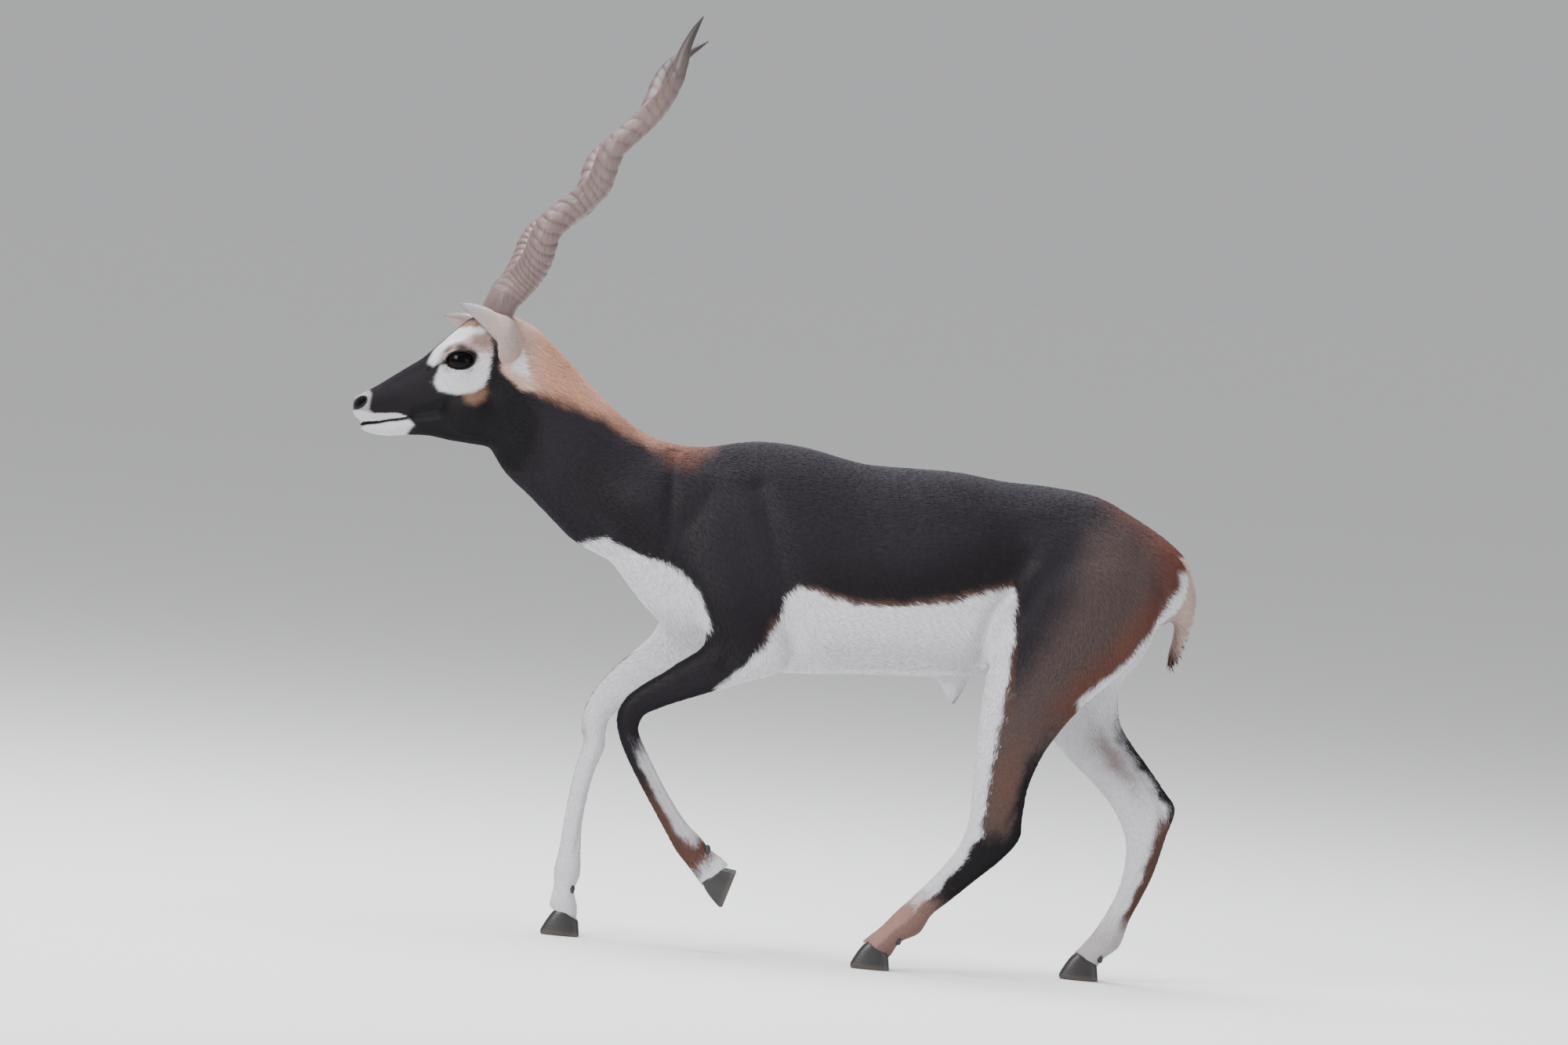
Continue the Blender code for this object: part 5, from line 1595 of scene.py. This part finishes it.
class Coat:
    """Tufts of hair as solid mesh, rooted in the skin and lying along it."""

    TUFTS = 326000
    LARGEST = 49000
    LOFT_OF = {"head": "skull", "ears": "skull", "trunk_left": "trunk", "trunk_right": "trunk"}

    def __init__(self, skin: "DressedSkin", finish: Material) -> None:
        """Takes the skin it grows on.

        Args:
            skin: the dressed skin.
            finish: the coat's material.
        """
        self.skin, self.finish = skin, finish
        self.draw = np.random.default_rng(7)

    @staticmethod
    def length_at(places: Array, zone: Array) -> Array:
        """Length of the hair in metres: long on the body, shorter down the legs, shortest on the muzzle.

        Args:
            places: points of the plain drawing.
            zone: the part of the body each belongs to.

        Returns:
            One length a point.
        """
        x, _, z = places.T
        length = np.interp(z, (0, 40, 100, 300, 450), (3.4, 4.0, 5.0, 7.2, 10.5))
        face = smooth_step(-x, 285, 400) * smooth_step(z, 580, 650)
        short = 4.3 - 1.5 * smooth_step(-x, 430, 500)
        length = length * (1 - face) + short * face
        length = np.where(zone == "tail", 11 + 7 * smooth_step(-z, -480, -400), length)
        return np.where(zone == "ear", 5.0, length) / 1000

    @staticmethod
    def width_of(length: Array) -> Array:
        """Width of a tuft of that length, in metres."""
        return 0.00034 + 0.095 * length

    def roots(self) -> tuple[Array, Array, Array, Array]:
        """Places spread over the skin, closer together where the hair is shorter.

        Returns:
            Triangle numbers, root points, normals and the way the coat lies.
        """
        skin, count = self.skin, self.TUFTS
        length = self.length_at(skin.face_places, skin.face_zone)
        x, y, z = skin.face_places.T
        eye = np.hypot((x - EYEBALL.centre[0]) / 17.5, (z - EYEBALL.centre[2]) / 11.5)
        open_skin = ~((eye < 1.0) & (np.abs(y) > 16)) & (skin.face_bare < 0.5) & ~skin.face_hoofed
        steps = np.cumsum(skin.face_area * open_skin / (length * self.width_of(length)))
        LOG.info("tufts cover the skin %.2f times", count / steps[-1] / 2)
        picks = (np.arange(count) + self.draw.uniform(size=count)) / count * steps[-1]
        face = np.searchsorted(steps, picks).clip(0, len(steps) - 1)
        a, b = self.draw.uniform(size=(2, count))
        flip = a + b > 1
        a[flip], b[flip] = 1 - a[flip], 1 - b[flip]
        share = np.stack([1 - a - b, a, b], axis=1)[..., None]
        corners = skin.faces[face]
        points = np.sum(skin.points[corners] * share, axis=1)
        normals = unit_rows(np.sum(skin.normals[corners] * share, axis=1))
        return face, points, normals, np.sum(skin.lie[corners] * share, axis=1)

    def tufts(self, face: Array, points: Array, normals: Array, lie: Array) -> tuple[Array, Array]:
        """The points of every tuft, a three-sided spike, and their shading normals.

        A tuft leaves its root along the lie of the coat and rises a little. Its normals are the skin's, leant
        outwards at its edges, so that the coat reads as one surface.

        Args:
            face: triangles the roots are on.
            points: roots.
            normals: the skin's normals there.
            lie: the way the coat lies there.

        Returns:
            Left, right and top of the root and the tip of each tuft, and a normal for each of them.
        """
        count = len(points)
        places = plain(points)
        angle = 0.11 * self.draw.normal(size=count) + 0.15 * ripple(places, 60, 11)
        lie = unit_rows(lie - normals * np.sum(lie * normals, axis=1)[:, None])
        cross = np.cross(normals, lie)
        lie = lie * np.cos(angle)[:, None] + cross * np.sin(angle)[:, None]
        cross = np.cross(normals, lie)
        size = self.draw.uniform(0.75, 1.25, (count, 1))
        length = self.length_at(places, self.skin.face_zone[face])[:, None]
        width = self.width_of(length) * size**0.5
        length = length * size
        rise = length * self.draw.uniform(0.05, 0.15, (count, 1))
        root = points - normals * width * 0.3
        tufts = [root - cross * width / 2, root + cross * width / 2, root + normals * width * 0.55,
                 points + lie * length + normals * rise]
        leant = [unit_rows(normals - 0.3 * cross), unit_rows(normals + 0.3 * cross), normals, normals]
        return np.stack(tufts, axis=1), np.stack(leant, axis=1)

    def unwrapped(self, key: str, points: Array) -> Array:
        """OFBake places of tufts: each root's place on the part's loft rolled out, angle across and row up.

        Args:
            key: the part of the body.
            points: roots.

        Returns:
            Two numbers for each of the four points of each tuft, a patch 0.003 across.
        """
        places = plain(points)
        loft = LOFTS[self.LOFT_OF.get(key, key)]
        row, fore, across = loft.place_of(places)
        u = np.arctan2(across, fore) / (2 * math.pi) + 0.5
        v = row
        if key == "ears":
            u, v = (places[:, 0] + 430) / 240 + 0.5 * (places[:, 1] > 0), places[:, 2]
        v = (v - v.min()) / np.ptp(v)
        centre = np.stack([u, v], axis=1) * 0.96 + 0.02 + self.draw.uniform(-0.004, 0.004, (len(points), 2))
        patch = np.array([(-1, -1), (1, -1), (0, 0), (0, 1)]) * 0.0015
        return np.clip(centre, 0.003, 0.997)[:, None, :] + patch[None]

    def piece(
        self, name: str, tufts: Array, normals: Array, colours: Array, places: Array
    ) -> Object:
        """One coat piece from arrays.

        Args:
            name: the piece's name.
            tufts: four points a tuft.
            normals: a shading normal for each of them.
            colours: a colour for each of them.
            places: their OFBake places.

        Returns:
            The object.
        """
        count = len(tufts)
        shape = np.array([(0, 2, 1), (0, 1, 3), (1, 2, 3), (2, 0, 3)])
        corners = (shape[None] + 4 * np.arange(count)[:, None, None]).reshape(-1, 3)
        mesh = bpy.data.meshes.new(name)
        mesh.vertices.add(count * 4)
        mesh.vertices.foreach_set("co", tufts.astype(np.float32).ravel())
        mesh.loops.add(corners.size)
        mesh.loops.foreach_set("vertex_index", corners.astype(np.int32).ravel())
        mesh.polygons.add(len(corners))
        mesh.polygons.foreach_set("loop_start", np.arange(0, corners.size, 3, dtype=np.int32))
        mesh.update(calc_edges=True)
        mesh.validate()
        mesh.shade_smooth()
        uv = mesh.uv_layers.new(name="OFBake")
        uv.data.foreach_set("uv", places.reshape(-1, 2)[corners.ravel()].astype(np.float32).ravel())
        add_attribute(mesh, "tint", "FLOAT_COLOR", colours.reshape(-1, 3))
        mesh.normals_split_custom_set_from_vertices(normals.reshape(-1, 3).tolist())
        made = bpy.data.objects.new(name, mesh)
        bpy.context.scene.collection.objects.link(made)
        mesh.materials.append(self.finish)
        return made

    def built(self) -> list[Object]:
        """Every coat piece: the tufts of each part of the body, shared out where they are many."""
        face, points, normals, lie = self.roots()
        tufts, leant = self.tufts(face, points, normals, lie)
        rough = self.draw.normal(size=(len(points), 2)) * 0.6
        colour = self.skin.colour_at(points, normals, face, rough)
        tone = self.draw.uniform(0.92, 1.08, len(points))[:, None, None]
        # Painted shade: each tuft's root points are darker than its tip, for the shade among the tufts, and
        # the tip a little lighter.
        shade = np.array([0.9, 0.9, 0.96, 1.05])[None, :, None]
        colours = np.clip(colour[:, None, :] * tone * shade, 0, 1)
        zone = self.skin.face_zone[face]
        left = self.skin.face_places[face, 1] < 0
        keys = np.where(zone == "trunk", np.where(left, "trunk_left", "trunk_right"), zone)
        keys = np.where(zone == "ear", "ears", keys)
        made = []
        for key in np.unique(keys):
            own = np.flatnonzero(keys == key)
            places = self.unwrapped(str(key), points[own])
            parts = math.ceil(len(own) / self.LARGEST)
            for part in range(parts):
                some = own[part::parts]
                name = f"coat_{key}" if parts == 1 else f"coat_{key}_{part + 1}"
                made.append(self.piece(name, tufts[some], leant[some], colours[some], places[part::parts]))
                LOG.info("%s: %d tufts", name, len(some))
        return made


class DressedSkin:
    """The skin with its ears, colours and lie, kept as arrays for the coat to grow on."""

    def __init__(self, body: Object) -> None:
        """Joins the ears to the body's skin and works out what the coat needs.

        Args:
            body: the finished skin of the body.
        """
        points, faces = [points_of(body.data)], [triangles_of(body.data)]
        bpy.data.objects.remove(body)
        start = len(points[0])
        self.body_points = start
        rises, insides, axes = [np.zeros(start)], [np.zeros(start)], [np.zeros((start, 3))]
        for ear in EARS:
            more, quads, rise, inside = ear.surface()
            triangles = [(q[0], q[i], q[i + 1]) for q in quads for i in range(1, len(q) - 1)]
            points.append(DRAWING.to_row(more))
            faces.append(np.array(triangles) + start)
            start += len(more)
            rises.append(rise)
            insides.append(inside)
            axes.append(np.tile(ear.axis_in_row(), (len(more), 1)))
        self.points, axes = np.vstack(points), np.vstack(axes)
        self.rise, self.inside = np.hstack(rises), np.hstack(insides)
        self.object = mesh_object("skin", self.points, np.vstack(faces))
        self.faces, self.normals = triangles_of(self.object.data), normals_of(self.object.data)
        self.places = plain(self.points)
        self.face_places = self.places[self.faces].mean(axis=1)
        self.face_zone = zone_of(self.face_places)
        self.face_zone[self.faces[:, 0] >= self.body_points] = "ear"
        first, second, third = (self.points[self.faces[:, corner]] for corner in range(3))
        self.face_area = np.linalg.norm(np.cross(second - first, third - first), axis=1) / 2
        self.bare = self.bareness()
        self.face_bare = self.bare[self.faces].mean(axis=1)
        self.face_hoofed = np.zeros(len(self.faces), bool)
        middles = self.points[self.faces].mean(axis=1)
        for foot in FEET:
            self.face_hoofed |= foot.tucked(middles)[1]
        self.lie = DRAWING.turned(LIE.at(self.places, DRAWING.turned_back(self.normals)))
        self.lie[self.body_points :] = axes[self.body_points :]

    def bareness(self) -> Array:
        """1 where the skin is bare and moist: nostrils, nose between them, lid rims and the mouth line."""
        x, y, z = self.places[:, 0], np.abs(self.places[:, 1]), self.places[:, 2]
        nose = smooth_step(-np.hypot((x + 546) / 13, (z - 724) / 9), -1.15, -0.8)
        dx, dz = x + 531, z - 726.5
        long = dx * math.cos(NOSTRIL_TILT) + dz * math.sin(NOSTRIL_TILT)
        short = dz * math.cos(NOSTRIL_TILT) - dx * math.sin(NOSTRIL_TILT)
        nostril = smooth_step(-np.hypot(long / 11.5, short / 7.0), -1.12, -0.9) * (y > 4)
        eye = np.hypot((x - EYEBALL.centre[0]) / 19.5, (z - EYEBALL.centre[2]) / 12.6)
        rim = smooth_step(-eye, -1.08, -0.95) * (y > 16)
        line = [(-545, 702), (-528, 700), (-508, 702), (-490, 704.6), (-472, 707)]
        mouth = near_line(x, z, line, 1.5 + 1.6 * smooth_step(-x, 490, 540)) > 0.5
        head = (x < -360) & (z > 640)
        return np.maximum.reduce([nose, nostril, rim, mouth * 0.9]) * head

    def ear_colour(self, rise: Array, inside: Array, rough: Array) -> Array:
        """Colours of the ears: cream pink outside, tan at the foot, greyer to the tip, and pink within."""
        low = 1 - smooth_step(rise + 0.06 * rough[:, 0], 0.12, 0.34)
        outer = blend(EAR_SKIN, 0.5 * NAPE_TAN + 0.5 * CREAM, low)
        outer = blend(outer, GREY_WHITE * 0.8, smooth_step(rise + 0.08 * rough[:, 0], 0.62, 0.95))
        return blend(outer, EAR_PINK, inside)

    def colour_at(self, points: Array, normals: Array, face: Array, rough: Array) -> Array:
        """Colours of the coat at places on the skin.

        Args:
            points: places in the row's frame.
            normals: normals there.
            face: the triangles that they are on.
            rough: two random numbers a point.

        Returns:
            Linear colours.
        """
        colour = MARKINGS.colour(plain(points), normals, rough)
        ear = self.face_zone[face] == "ear"
        first = self.faces[face[ear], 0]
        colour[ear] = self.ear_colour(self.rise[first], self.inside[first], rough[ear])
        return colour

    def dressed(self, finish: Material) -> Object:
        """The skin object with its colours, gloss and lie stored on it."""
        rough = np.zeros((len(self.points), 2))
        colour = MARKINGS.colour(self.places, self.normals, rough)
        ear = slice(self.body_points, None)
        colour[ear] = self.ear_colour(self.rise[ear], self.inside[ear], rough[ear])
        # Painted shade: the skin's colour is made 0.95 as bright, for the shade of the tufts over it.
        colour = blend(colour * 0.95, MOIST_BLACK, self.bare)
        add_attribute(self.object.data, "tint", "FLOAT_COLOR", colour)
        add_attribute(self.object.data, "bare", "FLOAT", self.bare)
        add_attribute(self.object.data, "lie", "FLOAT_VECTOR", self.lie)
        self.object.data.materials.append(finish)
        return self.object


def new_material(name: str) -> tuple[Material, NodeTree, Node]:
    """A material with its tree and its Principled shader."""
    material = bpy.data.materials.new(name)
    material.use_nodes = True
    tree = material.node_tree
    return material, tree, tree.nodes["Principled BSDF"]


def set_inputs(tree: NodeTree, node: Node, inputs: dict) -> None:
    """Links each input to the socket given for it, or sets it to the constant given for it."""
    for key, value in inputs.items():
        if isinstance(value, NodeSocket):
            tree.links.new(value, node.inputs[key])
        else:
            node.inputs[key].default_value = value


def add_node(tree: NodeTree, kind: str, inputs: dict | None = None, **settings: object) -> Node:
    """A shader node with its own settings and its inputs.

    Args:
        tree: the tree that it is added to.
        kind: its type, without the word ShaderNode.
        inputs: a socket or a constant for the name or number of each input that isn't left alone.
        settings: its own properties, which are set before the inputs.

    Returns:
        The node.
    """
    node = tree.nodes.new(f"ShaderNode{kind}")
    for key, value in settings.items():
        setattr(node, key, value)
    set_inputs(tree, node, inputs or {})
    return node


def attribute(tree: NodeTree, name: str, output: str) -> NodeSocket:
    """The output of a node that reads a stored attribute."""
    return add_node(tree, "Attribute", attribute_name=name).outputs[output]


def mixed(tree: NodeTree, first: object, second: object, share: NodeSocket) -> NodeSocket:
    """The first colour, or colour socket, turned into the second by a share."""
    ends = [end if isinstance(end, NodeSocket) else (*end, 1) for end in (first, second)]
    inputs = {"Factor": share, "A": ends[0], "B": ends[1]}
    return add_node(tree, "Mix", inputs, data_type="RGBA").outputs["Result"]


def bumped(tree: NodeTree, height: NodeSocket, strength: float, depth: float) -> NodeSocket:
    """Normals roughened by a height, at a strength and a depth in metres."""
    inputs = {"Height": height, "Strength": strength, "Distance": depth}
    return add_node(tree, "Bump", inputs).outputs["Normal"]


def hair_grain_group() -> NodeTree:
    """Streaks along the lie of the coat: noise on coordinates squeezed along the lie.

    Inputs are Tint, Lie, Size and Strength; outputs are the streaked Colour and a Height.
    """
    group = bpy.data.node_groups.new("hair grain", "ShaderNodeTree")
    for name, way, kind in (
        ("Tint", "INPUT", "Color"), ("Lie", "INPUT", "Vector"), ("Size", "INPUT", "Float"),
        ("Strength", "INPUT", "Float"), ("Colour", "OUTPUT", "Color"), ("Height", "OUTPUT", "Float"),
    ):
        group.interface.new_socket(name, in_out=way, socket_type=f"NodeSocket{kind}")
    given = group.nodes.new("NodeGroupInput").outputs
    place = add_node(group, "TexCoord").outputs["Object"]
    along = add_node(group, "VectorMath", {0: place, 1: given["Lie"]}, operation="DOT_PRODUCT")
    share = add_node(group, "Math", {0: along.outputs["Value"], 1: -0.88}, operation="MULTIPLY")
    squeeze = add_node(group, "VectorMath", {0: given["Lie"], "Scale": share.outputs[0]}, operation="SCALE")
    streak = add_node(group, "VectorMath", {0: place, 1: squeeze.outputs[0]}, operation="ADD")
    noise = add_node(group, "TexNoise", {
        "Vector": streak.outputs[0], "Scale": given["Size"], "Detail": 3.0, "Roughness": 0.6,
    })
    height = add_node(group, "MapRange", {"Value": noise.outputs["Fac"], "From Min": 0.3, "From Max": 0.7})
    height = height.outputs["Result"]
    dark = add_node(
        group, "Mix", {"Factor": given["Strength"], "A": given["Tint"], "B": height},
        data_type="RGBA", blend_type="MULTIPLY", clamp_factor=True,
    )
    out = group.nodes.new("NodeGroupOutput")
    set_inputs(group, out, {"Colour": dark.outputs["Result"], "Height": height})
    return group


@dataclass(frozen=True)
class SkinFinish:
    """Hair ground seen between the tufts, with moist bare places.

    Args:
        grain: the shared hair grain group.
        rough: roughness of the hair ground.
        moist: roughness of the bare places.
    """

    grain: NodeTree
    rough: float = 0.62
    moist: float = 0.28

    def made(self) -> Material:
        """Builds the material."""
        material, tree, surface = new_material("skin")
        grain = add_node(tree, "Group", {
            "Tint": attribute(tree, "tint", "Color"), "Lie": attribute(tree, "lie", "Vector"),
            "Size": 520.0, "Strength": 0.4,
        }, node_tree=self.grain).outputs
        rough = add_node(tree, "MapRange", {
            "Value": attribute(tree, "bare", "Fac"), "To Min": self.rough, "To Max": self.moist,
        })
        set_inputs(tree, surface, {
            "Base Color": grain["Colour"], "Roughness": rough.outputs["Result"],
            "Normal": bumped(tree, grain["Height"], 0.55, 0.0009),
            "Sheen Weight": 0.01, "Specular IOR Level": 0.15,
        })
        return material


@dataclass(frozen=True)
class CoatFinish:
    """Sleek hair of the tufts.

    Args:
        rough: roughness.
        sheen: weight of the sheen.
        sheen_tint: its colour.
    """

    rough: float = 0.5
    sheen: float = 0.012
    sheen_tint: tuple[float, float, float] = (0.85, 0.80, 1.0)

    def made(self) -> Material:
        """Builds the material."""
        material, tree, surface = new_material("coat")
        set_inputs(tree, surface, {
            "Base Color": attribute(tree, "tint", "Color"), "Roughness": self.rough,
            "Sheen Weight": self.sheen, "Sheen Roughness": 0.45, "Sheen Tint": (*self.sheen_tint, 1.0),
            "Specular IOR Level": 0.15,
        })
        return material


@dataclass(frozen=True)
class HornFinish:
    """Pale pinkish horn, darker in its grooves and at its tip.

    Args:
        pale: colour of the ridges.
        dark: colour of the grooves.
        tip: colour of the tip.
    """

    pale: tuple[float, float, float] = (0.165, 0.112, 0.104)
    dark: tuple[float, float, float] = (0.050, 0.033, 0.031)
    tip: tuple[float, float, float] = (0.016, 0.012, 0.013)

    def made(self) -> Material:
        """Builds the material."""
        material, tree, surface = new_material("horn")
        strand = attribute(tree, "strand", "Vector")
        noise = add_node(tree, "TexNoise", {"Vector": strand, "Scale": 4.0, "Detail": 5.0}).outputs["Fac"]
        streaks = add_node(tree, "MapRange", {
            "Value": noise, "From Min": 0.35, "From Max": 0.7, "To Min": -0.15, "To Max": 0.45,
        })
        shade = add_node(tree, "Math", {
            0: attribute(tree, "groove", "Fac"), 1: 0.6, 2: streaks.outputs["Result"],
        }, operation="MULTIPLY_ADD")
        far = add_node(tree, "MapRange", {
            "Value": attribute(tree, "up_horn", "Fac"), "From Min": 0.72, "From Max": 0.97,
        })
        body = mixed(tree, self.pale, self.dark, shade.outputs[0])
        set_inputs(tree, surface, {
            "Base Color": mixed(tree, body, self.tip, far.outputs["Result"]), "Roughness": 0.46,
            "Normal": bumped(tree, noise, 0.35, 0.0008),
        })
        return material


@dataclass(frozen=True)
class HoofFinish:
    """Dark horn of the hooves, paler at the worn lower edge.

    Args:
        dark: its colour.
        worn: colour of the lower edge.
    """

    dark: tuple[float, float, float] = (0.018, 0.016, 0.016)
    worn: tuple[float, float, float] = (0.060, 0.048, 0.042)

    def made(self) -> Material:
        """Builds the material."""
        material, tree, surface = new_material("hoof")
        place = add_node(tree, "TexCoord").outputs["Object"]
        noise = add_node(tree, "TexNoise", {"Vector": place, "Scale": 220.0}).outputs["Fac"]
        low = add_node(tree, "MapRange", {
            "Value": attribute(tree, "height", "Fac"), "From Min": 0.25, "From Max": 0.0,
        })
        set_inputs(tree, surface, {
            "Base Color": mixed(tree, self.dark, self.worn, low.outputs["Result"]), "Roughness": 0.38,
            "Normal": bumped(tree, noise, 0.25, 0.0004),
        })
        return material


@dataclass(frozen=True)
class EyeFinish:
    """A near-black brown iris with a darker level pupil, moist.

    Args:
        pupil: colour of the pupil.
        iris: colour of the iris.
    """

    pupil: tuple[float, float, float] = (0.001, 0.001, 0.0015)
    iris: tuple[float, float, float] = (0.005, 0.003, 0.0025)

    def made(self) -> Material:
        """Builds the material."""
        material, tree, surface = new_material("eye")
        edge = add_node(tree, "MapRange", {
            "Value": attribute(tree, "iris", "Fac"), "From Min": 0.34, "From Max": 0.46,
        })
        set_inputs(tree, surface, {
            "Base Color": mixed(tree, self.pupil, self.iris, edge.outputs["Result"]),
            "Roughness": 0.16, "Specular IOR Level": 0.1,
        })
        return material


@dataclass(frozen=True)
class Studio:
    """The pale floor, the soft lights and the camera.

    Args:
        aim: drawing x and z in the middle of the picture.
        picture: width and height of the photograph in pixels.
        distance: camera to object in metres.
        elevation: how far the camera looks down, in degrees.
        floor_colour: linear colour of the floor.
        sky: strength of the world.
    """

    aim: tuple[float, float] = (10.0, 573.5)
    picture: tuple[int, int] = (2000, 1333)
    distance: float = 18.0
    elevation: float = 2.5
    floor_colour: tuple[float, float, float] = (0.86, 0.86, 0.85)
    sky: float = 0.6

    def floor(self) -> None:
        """A plain pale floor."""
        reach, below = 40.0, 0.0005
        corners = [(-reach, -reach), (reach, -reach), (reach, reach), (-reach, reach)]
        floor = mesh_object("floor", np.array([(x, y, -below) for x, y in corners]), [[0, 1, 2, 3]])
        material, tree, surface = new_material("floor")
        set_inputs(tree, surface, {"Base Color": (*self.floor_colour, 1), "Roughness": 0.9})
        floor.data.materials.append(material)

    def light(self, name: str, place: Array, size: float, power: float, colour: tuple) -> None:
        """A square soft light turned to the animal's middle.

        Args:
            name: its name.
            place: where it stands.
            size: its side in metres.
            power: watts.
            colour: its colour.
        """
        data = bpy.data.lights.new(name, "AREA")
        data.shape, data.size, data.energy, data.color = "SQUARE", size, power, colour
        lamp = bpy.data.objects.new(name, data)
        lamp.location = place
        way = Vector((0.0, 0.0, 0.62)) - Vector(place)
        lamp.rotation_euler = way.to_track_quat("-Z", "Y").to_euler()
        bpy.context.scene.collection.objects.link(lamp)

    def lights(self) -> None:
        """Overhead sky, a key from the camera's left and a fill from its right, with a pale world.

        The camera sees the world as bright as the floor that it lights, so that the horizon hardly shows.
        """
        self.light("overhead", (-0.3, 0.3, 4.2), 4.0, 430, (0.95, 0.97, 1.0))
        self.light("key", (-3.2, -4.6, 3.4), 2.4, 330, (1.0, 0.985, 0.96))
        self.light("fill", (4.6, -3.4, 2.0), 3.0, 60, (1.0, 0.99, 0.98))
        world = bpy.data.worlds.new("studio")
        world.use_nodes = True
        tree = world.node_tree
        seen = add_node(tree, "MapRange", {
            "Value": add_node(tree, "LightPath").outputs["Is Camera Ray"],
            "To Min": self.sky, "To Max": self.sky * self.floor_colour[1],
        })
        set_inputs(tree, tree.nodes["Background"], {
            "Color": (0.92, 0.93, 0.95, 1), "Strength": seen.outputs["Result"],
        })
        bpy.context.scene.world = world

    def camera(self) -> None:
        """The camera: rolled with the drawing, so that the picture's frame is the photograph's."""
        data = bpy.data.cameras.new("camera")
        data.sensor_width = 36.0
        data.lens = data.sensor_width * self.distance / (self.picture[0] * DRAWING.unit)
        data.clip_end = 200.0
        eye = bpy.data.objects.new("camera", data)
        lean = math.radians(self.elevation)
        back = Vector((0.0, -math.cos(lean), math.sin(lean)))
        right = Vector(DRAWING.turned(np.array([1.0, 0.0, 0.0])))
        right = (right - back * right.dot(back)).normalized()
        upward = back.cross(right)
        target = Vector(DRAWING.to_row(np.array([self.aim[0], 0.0, self.aim[1]])))
        turn = Matrix((right, upward, back)).transposed().to_4x4()
        eye.matrix_world = Matrix.Translation(target + back * self.distance) @ turn
        bpy.context.scene.collection.objects.link(eye)
        bpy.context.scene.camera = eye


LIE = Lie()
MARKINGS = Markings()
FEET = [Foot(name, LEG_SIDES[name], stand) for name, stand in {**FOREFEET, **HINDFEET}.items()]
FLESH = ["head", "jaw", "neck", "torso", "tail", "ear_left", "ear_right"]
for leg in LEG_SIDES:
    upper = ("arm", "forearm") if leg.startswith("fore") else ("thigh", "shank")
    FLESH += [f"{leg}_{part}" for part in (*upper, "cannon", "pastern")]


def main() -> None:
    """Builds the studio and every piece of the animal, in order, and places each on the root."""
    logging.basicConfig(level=logging.INFO, format="%(name)s: %(message)s")
    studio = Studio()
    studio.floor()
    studio.lights()
    studio.camera()
    grain = hair_grain_group()
    pieces = []
    dressed = DressedSkin(Skin().built())
    skin = dressed.dressed(SkinFinish(grain).made())
    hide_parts(*FLESH)
    pieces.append(skin)
    eye_finish = EyeFinish().made()
    for side in Side:
        ball = EYEBALL.built(side, eye_finish)
        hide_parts(f"eye_{side.name.lower()}")
        pieces.append(ball)
    horn_finish = HornFinish().made()
    for horn in (Horn(Side.LEFT, (-23.0, -120.0)), Horn(Side.RIGHT, (31.0, 209.0))):
        made = horn.built(horn_finish)
        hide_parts(f"horn_{horn.side.name.lower()}")
        pieces.append(made)
    hoof_finish = HoofFinish().made()
    for foot in FEET:
        outer, inner, dew = foot.built(hoof_finish)
        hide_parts(f"{foot.name}_hoof_outer")
        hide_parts(f"{foot.name}_hoof_inner")
        pieces += [outer, inner, dew]
    pieces += Coat(dressed, CoatFinish().made()).built()
    for piece in pieces:
        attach(piece, "root")
        LOG.info("%s: %d faces", piece.name, len(piece.data.polygons))


if __name__ == "__main__":
    main()
